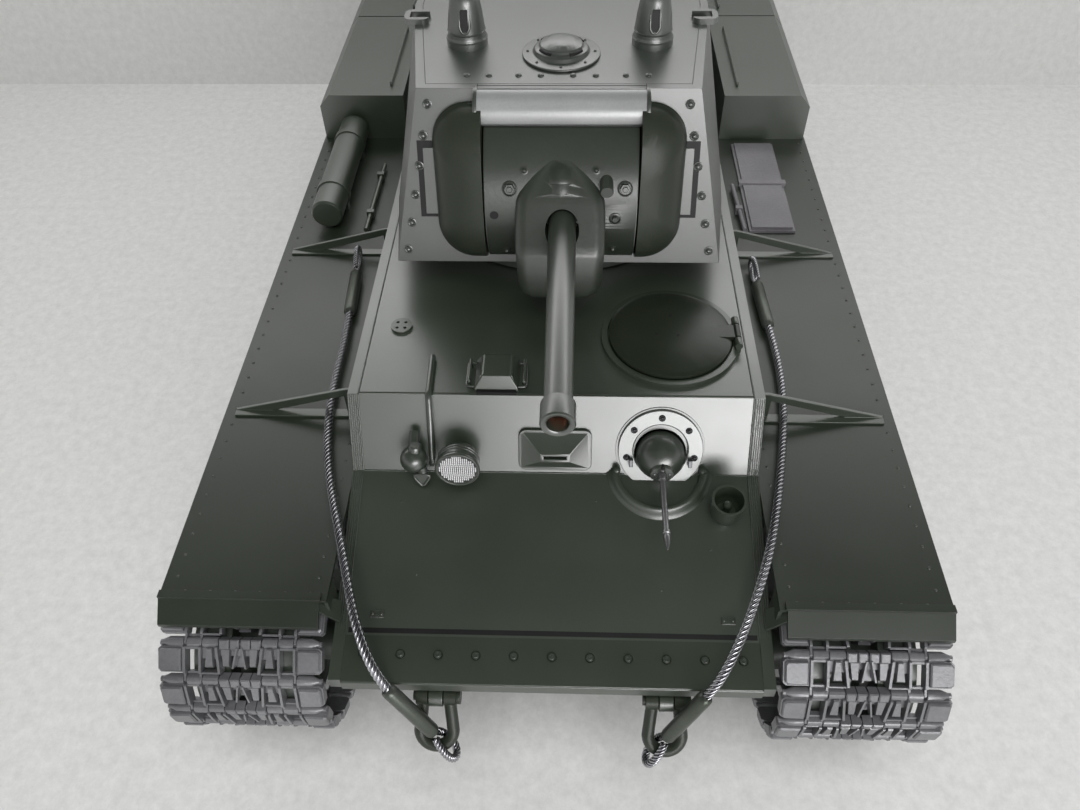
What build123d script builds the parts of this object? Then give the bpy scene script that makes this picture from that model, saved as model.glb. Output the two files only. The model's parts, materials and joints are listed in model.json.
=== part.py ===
from build123d import *
import math
import os

# Radio-controlled heavy tank at 1:16, millimetres.
# Frame: +Z up, the floor at z = 0, the bow towards -Y, the vehicle's left side towards +X.
# Origin: the middle of the ground under the tank.

# ---------------------------------------------------------------- driving dimensions
hull_half_width = 59.0
side_plate = 3.2
belly_z = 28.0
split_z = 62.0
roof_z = 100.5
armour = 3.0
bow_y = -205.6
glacis_low = (-193.5, 64.7)
glacis_high = (-149.0, 79.5)
roof_front_y = -138.1
deck_end_y = 150.0
tail_y = 190.0

fender_z = 78.0
fender_plate = 1.2
fender_half_width = 103.75
fender_front_y = -191.5
fender_rear_y = 192.0
flap_y, flap_z = -196.8, 73.5

track_inner_x = 60.5
track_width = 44.0
link_pitch = 10.0
link_plate = 2.2
pad_height = 1.4
horn_height = 5.0
wheel_gap = 0.35

road_wheel_r = 18.45
road_wheel_y0 = -135.0
road_wheel_step = 54.6
road_wheels = 6
roller_r = 10.5
roller_ys = (-92.0, 2.0, 96.0)
idler_y, idler_z, idler_r = -186.5, 48.0, 20.5
sprocket_y, sprocket_z = 187.8, 42.0
sprocket_teeth = 16
wheel_inner_x = 69.0
wheel_outer_x = 96.0
horn_groove = 7.0
axle_r = 2.5
axle_clearance = 0.05

turret_y = -34.0
turret_floor_z = 112.0
turret_top_z = 163.5
turret_wall = 3.0
turret_roof_plate = 2.5
ring_r = 45.5
front_low = (-92.6, turret_floor_z)
front_high = (-82.6, turret_top_z)

trunnion_y, trunnion_z, trunnion_r = -74.4, 132.7, 3.0
mantlet_x, mantlet_half, mantlet_r = 1.0, 21.5, 26.1
gun_x, gun_z, gun_r = 1.5, 134.0, 3.85
muzzle_y, muzzle_ring_r, bore_r = -178.0, 4.15, 2.6

mg_x, mg_y, mg_z, mg_ball_r = 30.3, -147.0, 86.0, 7.2
hatch_x, hatch_y, hatch_r = 33.8, -114.1, 18.2

rope_r = 1.2
sleeve_r = 2.1
rear_sleeve = 20.5
shackle_x, pin_y, pin_z = 31.0, -205.0, 52.6
shackle_reach, bow_r, bow_rod = 10.0, 4.55, 1.7
shackle_lean = 40.0

os.makedirs("parts", exist_ok=True)
nodes = {}


# ---------------------------------------------------------------- helpers
def block(x0, x1, y0, y1, z0, z1):
    centre = Pos((x0 + x1) / 2, (y0 + y1) / 2, (z0 + z1) / 2)
    return centre * Box(abs(x1 - x0), abs(y1 - y0), abs(z1 - z0))


def prism_x(points, x0, x1):
    """A solid whose outline in (y, z) is swept along X."""
    return extrude(Plane.YZ.offset(x0) * Polygon(*points), amount=x1 - x0, dir=(1, 0, 0))


def rounded(plane, radius, points):
    """A flat outline on a plane, with its corners rounded."""
    return plane * make_face(FilletPolyline(*points, radius=radius, close=True))


def prism_y(points, y0, y1):
    """A solid whose outline in (x, z) is swept along Y."""
    return extrude(Plane.XZ.offset(-y1) * Polygon(*points), amount=y1 - y0, dir=(0, -1, 0))


def rod(start, end, radius):
    start, end = Vector(*start), Vector(*end)
    along = end - start
    place = Plane(origin=start, z_dir=along)
    return place * Cylinder(radius, along.length, align=(Align.CENTER, Align.CENTER, Align.MIN))


def turned_x(profile, y=0.0, z=0.0):
    """A solid of revolution about a line along X; the profile is (x, radius)."""
    plane = Plane(origin=(0, y, z), x_dir=(1, 0, 0), z_dir=(0, -1, 0))
    return revolve(plane * Polygon(*profile), Axis((0, y, z), (1, 0, 0)), 360)


def turned(profile, origin, direction):
    """A solid of revolution about a line; the profile is (radius, distance along)."""
    direction = Vector(*direction).normalized()
    side = Vector(1, 0, 0) if abs(direction.X) < 0.9 else Vector(0, 1, 0)
    side = (side - direction * side.dot(direction)).normalized()
    plane = Plane(origin=origin, x_dir=side, z_dir=side.cross(direction))
    return revolve(plane * Polygon(*profile), Axis(origin, direction), 360)


def both_sides(shape):
    return [shape, mirror(shape, Plane.YZ)]


def solids_of(*shapes):
    found = []
    for shape in shapes:
        found += solids_of(*shape) if isinstance(shape, (list, tuple)) else shape.solids()
    return found


def save(name, *shapes):
    nodes[name] = Compound(solids_of(*shapes))
    export_step(nodes[name], f"parts/{name}.step")


def axle_hole(x0, x1):
    return Pos((x0 + x1) / 2, 0, 0) * Rot(0, 90, 0) * Cylinder(axle_r + axle_clearance, x1 - x0)


# ---------------------------------------------------------------- track path
def supports():
    """Circles that the hinge pins wrap, in the order of travel: y, z, radius."""
    def pin_circle(radius):
        # a straight link between two pins on the circle clears the wheel by the gap
        return math.hypot(radius + wheel_gap + link_plate / 2, link_pitch / 2)

    idler = (idler_y, idler_z, pin_circle(idler_r))
    sprocket_pitch = link_pitch / 2 / math.sin(math.pi / sprocket_teeth)
    sprocket = (sprocket_y, sprocket_z, sprocket_pitch)
    ground = pin_circle(road_wheel_r) + link_plate / 2 + pad_height
    last_y = road_wheel_y0 + (road_wheels - 1) * road_wheel_step
    first = (road_wheel_y0, ground, pin_circle(road_wheel_r))
    last = (last_y, ground, pin_circle(road_wheel_r))
    return first, idler, sprocket, last


def roller_height(y):
    """Centre height that puts a return roller just under the straight upper run."""
    _, idler, sprocket, _ = supports()
    top_front, top_rear = idler[1] + idler[2], sprocket[1] + sprocket[2]
    share = (y - idler[0]) / (sprocket[0] - idler[0])
    return top_front + (top_rear - top_front) * share - roller_r - wheel_gap - link_plate / 2


def track_path(step_deg=3.0):
    """The closed line of the hinge pins as (y, z) points, from mid ground run forward."""
    circles = supports()
    contact = []
    for (y0, z0, r0), (y1, z1, r1) in zip(circles, circles[1:] + circles[:1]):
        gap = math.hypot(y1 - y0, z1 - z0)
        uy, uz = (y1 - y0) / gap, (z1 - z0) / gap
        lean = (r0 - r1) / gap
        side = math.sqrt(1 - lean * lean)
        contact.append((uy * lean - uz * side, uz * lean + uy * side))
    points = [(0.0, circles[0][1] - circles[0][2])]
    for i, (y, z, r) in enumerate(circles):
        enter = math.atan2(contact[i - 1][1], contact[i - 1][0])
        leave = math.atan2(contact[i][1], contact[i][0])
        sweep = (enter - leave) % (2 * math.pi)
        steps = max(1, math.ceil(math.degrees(sweep) / step_deg))
        for k in range(steps + 1):
            angle = enter - sweep * k / steps
            points.append((y + r * math.cos(angle), z + r * math.sin(angle)))
    points.append(points[0])
    return points


def along_path(points, distance):
    """The point at a distance along the closed line."""
    for (y0, z0), (y1, z1) in zip(points, points[1:]):
        run = math.dist((y0, z0), (y1, z1))
        if distance <= run:
            share = distance / run
            return y0 + (y1 - y0) * share, z0 + (z1 - z0) * share
        distance -= run
    return points[-1]


def link_places():
    """Centre and heading of every link: each one spans two hinge pins."""
    points = track_path()
    total = sum(math.dist(a, b) for a, b in zip(points, points[1:]))
    count = round(total / link_pitch)
    pins = [along_path(points, total * (i - 0.5) / count % total) for i in range(count + 1)]
    places = []
    for (y0, z0), (y1, z1) in zip(pins, pins[1:]):
        heading = math.degrees(math.atan2(z1 - z0, y1 - y0))
        places.append(((y0 + y1) / 2, (z0 + z1) / 2, heading))
    return places


# ---------------------------------------------------------------- running gear
def track_link():
    """One link about its own centre: travel along +Y, the outer face up."""
    half = track_width / 2
    top = link_plate / 2
    plate = block(-half, half, -3.75, 4.2, -top, top)
    knuckle = Pos(0, link_pitch / 2, 0) * Rot(0, 90, 0) * Cylinder(1.1, track_width)
    link = plate + knuckle
    for side in (-1, 1):
        end = side * (half - 3.25)
        link += block(end - 3.25, end + 3.25, -3.2, 3.4, top, top + pad_height)
        middle = side * 7.6
        link += block(middle - 3.6, middle + 3.6, -3.2, 1.6, top, top + pad_height)
    horn = [(-1.9, -top), (1.9, -top), (1.0, -top - horn_height), (-1.0, -top - horn_height)]
    return link + prism_x(horn, -1.6, 1.6)


def tracks():
    link = track_link()
    centre_x = track_inner_x + track_width / 2
    for name, side in (("track_left", 1), ("track_right", -1)):
        placed = [Pos(side * centre_x, y, z) * Rot(heading, 0, 0) * link
                  for y, z, heading in link_places()]
        save(name, placed)


def road_wheel():
    """Twin steel-rimmed wheel with a groove for the horns and a ring of lightening holes."""
    a, b = wheel_inner_x, wheel_outer_x
    middle, g = (a + b) / 2, horn_groove / 2
    r = road_wheel_r
    profile = [(a, 0), (a, 6.0), (a + 2.5, 7.5), (a + 2.5, 14.5), (a, 15.6), (a, r - 0.5),
               (a + 0.5, r), (middle - g, r), (middle - g, 12.0), (middle + g, 12.0),
               (middle + g, r), (b - 0.5, r), (b, r - 0.5), (b, 15.6), (b - 3.0, 14.5),
               (b - 3.0, 8.0), (b - 0.6, 6.4), (b - 0.6, 4.4), (b, 4.0), (b, 0)]
    wheel = turned_x(profile)
    for i in range(8):
        hole = Rot(45 * i, 0, 0) * Pos(b - 2.0, 11.3, 0) * Rot(0, 90, 0)
        wheel -= hole * Cylinder(1.9, 5.0)
    return wheel - axle_hole(a - 1, b - 3.5)


def return_roller():
    a, b = wheel_inner_x + 2, wheel_outer_x - 2
    middle, g = (a + b) / 2, horn_groove / 2
    r = roller_r
    profile = [(a, 0), (a, r - 0.4), (a + 0.4, r), (middle - g, r), (middle - g, 4.8),
               (middle + g, 4.8), (middle + g, r), (b - 0.4, r), (b, r - 0.4), (b, 7.4),
               (b - 1.5, 6.6), (b - 1.5, 4.4), (b, 3.6), (b, 0)]
    return turned_x(profile) - axle_hole(a - 1, b - 3.5)


def idler_wheel():
    a, b = wheel_inner_x, wheel_outer_x
    middle, g = (a + b) / 2, horn_groove / 2
    r = idler_r
    profile = [(a, 0), (a, 6.5), (a + 2.5, 8.0), (a + 2.5, 16.0), (a, 17.2), (a, r),
               (middle - g, r), (middle - g, 14.2), (middle + g, 14.2), (middle + g, r),
               (b, r), (b, 17.2), (b - 3.0, 16.0), (b - 3.0, 8.0), (b, 6.6), (b, 0)]
    wheel = turned_x(profile)
    for i in range(6):
        slot = Rot(60 * i, 0, 0) * Pos(b - 2.0, 12.0, 0) * Rot(0, 90, 0)
        wheel -= slot * Cylinder(2.6, 5.0)
    return wheel - axle_hole(a - 1, b - 3.5)


def drive_sprocket():
    """Two toothed rings on a hub drum; the teeth end just inside the track's inner face."""
    a, b = wheel_inner_x, wheel_outer_x
    pin_circle = supports()[2][2]
    tip = math.sqrt(pin_circle ** 2 - (link_pitch / 2) ** 2) - link_plate / 2 - wheel_gap
    root = tip - 3.2
    hub = turned_x([(a, 0), (a, 9.0), (a + 3, 15.0), (b - 3, 15.0), (b - 2, 9.5),
                    (b - 0.5, 8.0), (b - 0.5, 5.0), (b, 4.6), (b, 0)])
    half_tooth = 180.0 / sprocket_teeth

    def spot(radius, angle):
        return (radius * math.cos(math.radians(angle)), radius * math.sin(math.radians(angle)))

    outline = []
    for i in range(sprocket_teeth):
        middle = 2 * half_tooth * i
        outline += [spot(root, middle - 0.62 * half_tooth), spot(tip, middle - 0.26 * half_tooth),
                    spot(tip, middle + 0.26 * half_tooth), spot(root, middle + 0.62 * half_tooth)]
    wheel = hub
    for x0, x1 in ((a + 1.5, a + 5.0), (b - 5.0, b - 1.5)):
        wheel += prism_x(outline, x0, x1)
    for i in range(8):
        hole = Rot(45 * i, 0, 0) * Pos(b - 2.0, 17.6, 0) * Rot(0, 90, 0)
        wheel -= hole * Cylinder(1.1, 9.0)
    return wheel - axle_hole(a - 1, b - 3.5)


def running_gear():
    wheel, roller, idler, sprocket = road_wheel(), return_roller(), idler_wheel(), drive_sprocket()
    ground = supports()[0][1]
    for name, side in (("left", 1), ("right", -1)):
        def placed(shape, y, z):
            put = Pos(0, y, z) * shape
            return put if side > 0 else mirror(put, Plane.YZ)
        for i in range(road_wheels):
            save(f"road_wheel_{name}_{i + 1}", placed(wheel, road_wheel_y0 + i * road_wheel_step, ground))
        for i, y in enumerate(roller_ys):
            save(f"return_roller_{name}_{i + 1}", placed(roller, y, roller_height(y)))
        save(f"idler_{name}", placed(idler, idler_y, idler_z))
        save(f"sprocket_{name}", placed(sprocket, sprocket_y, sprocket_z))


def suspension_arms():
    """Swing arms, stub axles and the brackets that carry rollers, idlers and sprockets."""
    x0 = hull_half_width
    ground = supports()[0][1]
    axle_end = wheel_outer_x - 4.0
    parts = []

    def axle(y, z, collar, end=axle_end):
        return (rod((x0, y, z), (wheel_inner_x - 0.5, y, z), collar)
                + rod((x0, y, z), (end, y, z), axle_r))

    for i in range(road_wheels):
        y = road_wheel_y0 + i * road_wheel_step
        reach = -20.0 if i < road_wheels / 2 else 20.0
        arm = rod((x0, y - reach, ground + 9.0), (x0 + 6.5, y - reach, ground + 9.0), 5.5)
        slope = [(y - reach - 3, ground + 12.5), (y - reach + 3, ground + 5.5),
                 (y + 3, ground - 3.5), (y - 3, ground + 3.5)]
        if reach > 0:
            slope = [(y - reach - 3, ground + 5.5), (y - reach + 3, ground + 12.5),
                     (y + 3, ground + 3.5), (y - 3, ground - 3.5)]
        parts.append(arm + prism_x(slope, x0 + 2, x0 + 6.5) + axle(y, ground, 5.0))
    for y in roller_ys:
        parts.append(axle(y, roller_height(y), 3.6, axle_end - 2))
    parts.append(axle(idler_y, idler_z, 6.0))
    parts.append(axle(sprocket_y, sprocket_z, 8.0))
    # The sprocket and idler axles stand past the hull's sloping ends, so arms carry them.
    parts[-1] += prism_x([(168, 34), (sprocket_y, 34), (sprocket_y, 50), (165, 54)], x0, x0 + 3)
    parts[-2] += prism_x([(-168, 40), (-168, 56), (idler_y, 54), (idler_y, 42)], x0, x0 + 3)
    save("suspension_arms", *[both_sides(p) for p in parts])


# ---------------------------------------------------------------- hull
hull_profile = [(-196.0, split_z), glacis_low, glacis_high, (roof_front_y, roof_z),
                (deck_end_y, roof_z), (tail_y - 2, 84.0), (tail_y, split_z)]
hull_inner = [(-184.0, split_z), (-184.0, 64.6), (-147.0, 76.9), (-136.0, roof_z - armour),
              (deck_end_y - 1, roof_z - armour), (tail_y - 5, 82.0), (tail_y - 3, split_z)]
bow_cheek = [(-190.0, split_z), (-190.0, 65.9), (-193.5, 64.9), (bow_y, 61.8),
             (bow_y, 57.6), (-202.6, 57.6), (-196.0, split_z)]


def upper_hull():
    shell = prism_x(hull_profile, -hull_half_width, hull_half_width)
    inside = hull_half_width - side_plate
    shell -= prism_x(hull_inner, -inside, inside)
    for cheek in both_sides(prism_x(bow_cheek, inside, hull_half_width)):
        shell += cheek
    shell -= Pos(0, turret_y, roof_z) * Cylinder(ring_r + 0.5, 4 * armour)
    shell -= Pos(hatch_x, hatch_y, roof_z) * Cylinder(hatch_r - 1.7, 4 * armour)
    # bore for the bow machine gun's ball
    shell -= Pos(mg_x, mg_y, mg_z) * Sphere(mg_ball_r + 0.4)
    return shell


def lower_hull():
    outline = [(-196.0, split_z), (-202.5, 58.4), (-170.0, belly_z), (160.0, belly_z),
               (184.0, 46.0), (tail_y, split_z)]
    inner = [(-190.0, split_z), (-197.0, 57.6), (-168.9, belly_z + 2.5), (159.0, belly_z + 2.5),
             (181.5, 47.3), (tail_y - 3, split_z)]
    inside = hull_half_width - 2.5
    return (prism_x(outline, -hull_half_width, hull_half_width)
            - prism_x(inner, -inside, inside))


def front_beam():
    """Angle bar across the bow with its row of countersunk bolts."""
    half = hull_half_width - side_plate
    bar = prism_x([(-193.6, 64.4), (bow_y, 61.6), (bow_y - 0.5, 61.0), (bow_y - 0.5, 57.6),
                   (bow_y + 1.6, 57.6), (bow_y + 1.8, 59.6), (-196.0, 62.2)], -half, half)
    slope = math.degrees(math.atan2(2.8, 12.0))
    bolts = []
    for i in range(11):
        x = -50.6 + 10.16 * i
        seat = Pos(x, -198.6, 63.3) * Rot(slope, 0, 0)
        bar -= seat * Cylinder(1.3, 1.6)
        bolts.append(seat * Pos(0, 0, -0.1) * Cylinder(1.0, 1.2))
    return bar, bolts


def stowage_boxes():
    """Two long boxes on each fender behind the turret, with bevelled outer top corners."""
    boxes = []
    for y0, y1 in ((35.0, 109.6), (110.4, 185.0)):
        outline = [(67.0, fender_z), (103.0, fender_z), (103.0, 93.0), (98.5, 98.0), (67.0, 98.0)]
        box = prism_y(outline, y0, y1)
        handle = rod((73.0, y0 + 8, 99.4), (73.0, y1 - 14, 99.4), 0.5)
        for y in (y0 + 8, y1 - 14):
            handle += rod((73.0, y, 98.0), (73.0, y, 99.4), 0.5)
        boxes += [box, handle]
    return boxes


def fenders():
    inner, outer = hull_half_width, fender_half_width
    plates = []
    low = fender_z - fender_plate
    deck = block(inner, outer, fender_front_y, fender_rear_y, low, fender_z)
    lip = block(outer - 1.0, outer, fender_front_y, fender_rear_y, low - 2.5, low)
    ridge = block(inner + 1.5, outer, fender_front_y - 0.2, fender_front_y + 2.0, fender_z, fender_z + 0.9)
    flap = prism_x([(fender_front_y, low), (fender_front_y, fender_z), (flap_y, flap_z),
                    (flap_y, flap_z - fender_plate)], inner + 2.0, outer)
    tail = prism_x([(fender_rear_y, low), (fender_rear_y, fender_z), (fender_rear_y + 8, 73.0),
                    (fender_rear_y + 8, 73.0 - fender_plate)], inner + 2.0, outer)
    plates.append(deck + lip + ridge + flap + tail)
    return plates


def fender_braces():
    """Triangular sheet brackets between the hull side and the fender, each with a window."""
    braces = []
    for y in (-124.9, -44.2):
        outline = [(hull_half_width, fender_z), (100.2, fender_z), (100.2, fender_z + 0.8),
                   (64.0, fender_z + 10.5), (hull_half_width, fender_z + 10.5)]
        brace = prism_y(outline, y - 0.5, y + 0.5)
        brace -= prism_y([(65.0, fender_z + 0.8), (88.5, fender_z + 0.8), (65.0, fender_z + 7.6)],
                         y - 1, y + 1)
        brace += prism_y([(hull_half_width, fender_z), (100.2, fender_z),
                          (100.2, fender_z + 0.8), (hull_half_width, fender_z + 0.8)],
                         y - 2.6, y + 0.5)
        braces.append(brace)
    low = fender_z - fender_plate
    braces.append(block(hull_half_width, track_inner_x - 0.4, -191.0, -184.0, 67.5, low))
    return braces


def tow_lugs():
    """Rounded lugs on the bow and tail plates, bored for the shackle pins."""
    lugs = []
    for x in (-shackle_x, shackle_x):
        lug = prism_x([(-199.0, 55.6), (-189.0, 46.0), (-193.5, 46.6), (pin_y, pin_z - 3.0),
                       (pin_y, pin_z + 3.0)], x - 1.9, x + 1.9)
        lug += rod((x - 1.9, pin_y, pin_z), (x + 1.9, pin_y, pin_z), 3.0)
        lug -= lower_body
        lug -= front_bar
        lugs.append(lug - rod((x - 3, pin_y, pin_z), (x + 3, pin_y, pin_z), 1.55))
        rear = prism_x([(170.0, 50.0), (194.0, 47.0), (194.0, 53.0), (172.0, 58.0)], x - 1.9, x + 1.9)
        rear += rod((x - 1.9, 194.0, 50.0), (x + 1.9, 194.0, 50.0), 3.0)
        rear -= rod((x - 3, 194.0, 50.0), (x + 3, 194.0, 50.0), 1.55)
        lugs.append(rear - lower_body)
    return lugs


def lean_vector():
    a = math.radians(shackle_lean)
    return Vector(0, -math.sin(a), -math.cos(a))


def front_shackles():
    """Bow, ears and cross pin of the two front D-shackles."""
    hang = lean_vector()
    parts = []
    for x in (-shackle_x, shackle_x):
        pin = Vector(x, pin_y, pin_z)
        centre = pin + hang * shackle_reach
        across = Vector(1, 0, 0)
        left = centre - across * bow_r
        right = centre + across * bow_r
        ear_left = pin - across * 3.6 + hang * 1.5
        ear_right = pin + across * 3.6 + hang * 1.5
        path = (Line(ear_left, left) + ThreePointArc(left, centre + hang * bow_r, right)
                + Line(right, ear_right))
        bow = sweep(Plane(origin=ear_left, z_dir=left - ear_left) * Circle(bow_rod), path=path,
                    transition=Transition.ROUND)
        for ear in (-1, 1):
            bow += rod(pin + across * (ear * 2.2), pin + across * (ear * 5.4), 2.6)
        bow -= rod(pin - across * 6.5, pin + across * 6.5, 1.5)
        cross = rod(pin - across * 6.2, pin + across * 6.6, 1.5)
        cross += rod(pin + across * 5.4, pin + across * 6.6, 2.3)
        parts += [bow, cross]
    return parts


# ---------------------------------------------------------------- hull fittings
plate_slope = math.degrees(math.atan2(glacis_high[0] - roof_front_y, roof_z - glacis_high[1]))


def on_front_plate(x, z):
    """Plane on the driver's plate at height z, its Z axis pointing out of the armour."""
    share = (z - glacis_high[1]) / (roof_z - glacis_high[1])
    y = glacis_high[0] + (roof_front_y - glacis_high[0]) * share
    a = math.radians(plate_slope)
    normal = Vector(0, -math.cos(a), -math.sin(a))
    if normal.Z < 0:
        normal = Vector(0, normal.Y, -normal.Z)
    return Plane(origin=(x, y, z), x_dir=(1, 0, 0), z_dir=normal)


def driver_visor():
    seat = on_front_plate(0.2, 86.2)
    base = RectangleRounded(21.0, 12.6, 2.2)
    visor = extrude(seat * base, amount=1.2)
    pyramid = loft([seat.offset(1.2) * Rectangle(18.4, 10.4),
                    seat.offset(4.0) * Pos(0, -1.2) * Rectangle(8.6, 2.6)])
    visor += pyramid
    return visor - seat.offset(3.4) * Pos(0, -1.2, 0) * Box(6.4, 0.8, 4.0)


def headlight():
    """Bowl, lens and stem of the round headlight."""
    axis = Vector(0, -math.cos(math.radians(6)), math.sin(math.radians(6)))
    face = Vector(-27.0, -155.6, 88.4)
    profile = [(0, -7.4), (3.0, -7.0), (5.2, -5.4), (6.1, -3.4), (6.4, -3.0), (6.4, 0.0),
               (5.3, 0.0), (5.3, -1.2), (0, -1.2)]
    shell = turned(profile, face, axis)
    seat = on_front_plate(-27.0, 86.5)
    stem = rod(seat.origin, face + axis * -5.0, 1.3) - shell
    bracket = extrude(seat * RectangleRounded(6.0, 4.0, 0.8), amount=0.9) - stem
    lens = turned([(0, -1.2), (5.25, -1.2), (5.25, -0.4), (3.2, 0.25), (0, 0.5)], face, axis)
    return [shell, stem - upper_body, bracket - upper_body], lens


def horn():
    """Round horn body with its trumpet loop and the cable conduit beside it."""
    centre = Vector(-39.9, -151.6, 87.0)
    ball = Pos(centre) * Sphere(3.9)
    seat = on_front_plate(-39.9, 88.6)
    neck = rod(seat.origin, centre, 1.5) - ball
    cap = rod(centre + Vector(0, -1.2, 3.3), centre + Vector(0, -1.6, 5.0), 1.2) - ball
    loop = extrude(Plane.XZ.offset(153.5) * Pos(-37.6, 81.6) * RegularPolygon(3.1, 3, rotation=30), 1.4)
    loop -= extrude(Plane.XZ.offset(153.0) * Pos(-37.6, 81.6) * RegularPolygon(1.7, 3, rotation=30), 3)
    trumpet = rod(centre + Vector(1.4, -1.5, -2.0), (-37.6, -154.2, 83.2), 1.3) - ball - loop
    run = [(-36.1, -124.0, roof_z + 1.0), (-35.6, -140.2, roof_z + 1.0), (-35.1, -149.4, 84.0)]
    conduit = sweep(Plane(origin=run[0], z_dir=Vector(*run[1]) - Vector(*run[0])) * Circle(0.95),
                    path=FilletPolyline(*run, radius=3.0))
    return [ball, neck - upper_body, cap, loop, trumpet, conduit - upper_body]


def lamp_cup():
    """Open cup with its bulb, standing on the glacis beside the machine gun."""
    base = Vector(48.4, -160.4, 75.8)
    axis = Vector(0, -0.16, 0.987)
    cup = turned([(0, -1.5), (2.2, -1.2), (3.9, 1.2), (4.5, 4.0), (4.8, 9.4), (4.1, 9.4),
                  (3.7, 4.2), (2.8, 2.4), (0, 2.2)], base, axis)
    bulb = rod(base + axis * 2.2, base + axis * 5.2, 1.0)
    bulb += Pos(base + axis * 6.2) * Sphere(1.35)
    foot = rod(base + Vector(0, 0, -2.5), base, 2.6) - cup
    return [cup - upper_body, bulb, foot - upper_body]


def mg_flange():
    """Armour ring round the ball mount, its bolts, and the curved splash guard."""
    seat = on_front_plate(mg_x, mg_z + 0.6)
    ring = extrude(seat * (Circle(12.3) - Circle(8.2)), amount=1.4)
    bolts = []
    for i in range(-2, 3):
        angle = math.radians(90 + 360 / 7 * i)
        spot = seat * Pos(10.3 * math.cos(angle), 10.3 * math.sin(angle), 1.4)
        bolts.append(spot * Cylinder(0.8, 0.7, align=(Align.CENTER, Align.CENTER, Align.MIN)))
    guard = extrude(Plane.XY.offset(74.0) * (Circle(13.6) - Circle(12.4)), 8.0)
    guard = Pos(mg_x, -145.5, 0) * guard
    top = prism_x([(-162.0, 70.0), (-162.0, 77.6), (-151.5, 80.9), (-151.5, 70.0)], 10, 50)
    guard = (guard & top) - upper_body
    ring -= Pos(mg_x, mg_y, mg_z) * Sphere(mg_ball_r + 0.4)
    return [ring - guard - upper_body, bolts, guard]


def hull_mg():
    """Bow machine gun: ball, oval cover plate, barrel and cone muzzle."""
    ball = Pos(mg_x, mg_y, mg_z) * Sphere(mg_ball_r)
    gun = ball + rod((mg_x, mg_y - 6.0, mg_z), (mg_x, mg_y - 8.4, mg_z), 2.6)
    gun += rod((mg_x, mg_y - 8.0, mg_z), (mg_x, mg_y - 25.6, mg_z), 0.95)
    gun += turned([(0, 0), (1.35, 0), (1.35, 1.0), (0.5, 4.4), (0, 4.4)],
                  (mg_x, mg_y - 25.4, mg_z), (0, -1, 0))
    return gun


def roof_fittings():
    """Driver's periscope cover, round filler plug and the hatch's collar."""
    seat = Plane.XY.offset(roof_z)
    cover = loft([Plane(origin=(-16.6, -130.9, roof_z)) * Rectangle(12.6, 11.6),
                  Plane(origin=(-16.6, -130.9, roof_z + 4.6)) * Rectangle(9.0, 7.6)])
    wires = []
    for side in (-1, 1):
        x = -16.6 + side * 7.8
        posts = rod((x, -134.8, roof_z), (x, -134.8, roof_z + 2.6), 0.45)
        posts += rod((x, -126.8, roof_z), (x, -126.8, roof_z + 2.6), 0.45)
        wires.append(posts + rod((x, -135.2, roof_z + 2.6), (x, -126.4, roof_z + 2.6), 0.45))
    plug = extrude(seat * Pos(-47.2, -110.1) * Circle(3.2), 0.9)
    for i in range(4):
        a = math.radians(45 + 90 * i)
        plug -= Pos(-47.2 + 1.7 * math.cos(a), -110.1 + 1.7 * math.sin(a), roof_z) * Cylinder(0.5, 3)
    collar = extrude(seat * Pos(hatch_x, hatch_y) * (Circle(20.4) - Circle(hatch_r + 0.4)), 1.4)
    hinge = rod((hatch_x + 19.6, hatch_y - 6, roof_z + 2.8), (hatch_x + 19.6, hatch_y - 3, roof_z + 2.8), 1.1)
    hinge += block(hatch_x + 18.9, hatch_x + 20.3, hatch_y - 6, hatch_y - 3, roof_z, roof_z + 2.8)
    hinges = [hinge - collar, Pos(0, 9, 0) * hinge - collar]
    return [cover, wires, plug, collar, hinges]


def hull_hatch():
    """Domed lid over the front compartment, hinged on its outer side."""
    low = roof_z + 0.35
    lid = turned([(0, 0), (hatch_r - 0.8, 0), (hatch_r - 0.8, 0.9), (hatch_r, 1.1), (hatch_r, 2.0),
                  (hatch_r - 1.4, 2.6), (hatch_r * 0.55, 3.7), (0, 4.1)],
                 (hatch_x, hatch_y, low), (0, 0, 1))
    knuckle = rod((hatch_x + 19.6, hatch_y - 2.6, roof_z + 2.8),
                  (hatch_x + 19.6, hatch_y + 2.6, roof_z + 2.8), 1.1)
    arm = block(hatch_x + 14, hatch_x + 19.6, hatch_y - 2.6, hatch_y + 2.6, roof_z + 2.2, roof_z + 3.4)
    return lid + knuckle + arm


def engine_deck():
    """Rear deck: engine hatch with its dome, two intake grilles and two exhaust hoods."""
    seat = Plane.XY.offset(roof_z)
    hatch = extrude(seat * Pos(0, 52) * RectangleRounded(58, 42, 4), 1.2)
    hatch += turned([(0, 1.2), (11.5, 1.2), (11.5, 2.2), (7.0, 3.8), (0, 4.4)],
                    (0, 52, roof_z), (0, 0, 1))
    rear = extrude(seat * Pos(0, 108) * RectangleRounded(54, 30, 3), 1.0)
    parts = [hatch, rear]
    for side in (-1, 1):
        x = side * 42
        frame = block(x - 10, x + 10, 82, 134, roof_z, roof_z + 2.2)
        frame -= block(x - 8, x + 8, 84, 132, roof_z + 1.0, roof_z + 3)
        for i in range(7):
            y = 89 + 6.4 * i
            frame += block(x - 8, x + 8, y, y + 1.6, roof_z + 1.0, roof_z + 2.0)
        parts.append(frame)
        hood = rod((side * 22, 132, roof_z + 2.6), (side * 22, 147, roof_z + 2.6), 4.2)
        hood -= rod((side * 22, 138, roof_z + 2.6), (side * 22, 150, roof_z + 2.6), 3.2)
        parts.append(hood - upper_body)
    return parts


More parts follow.
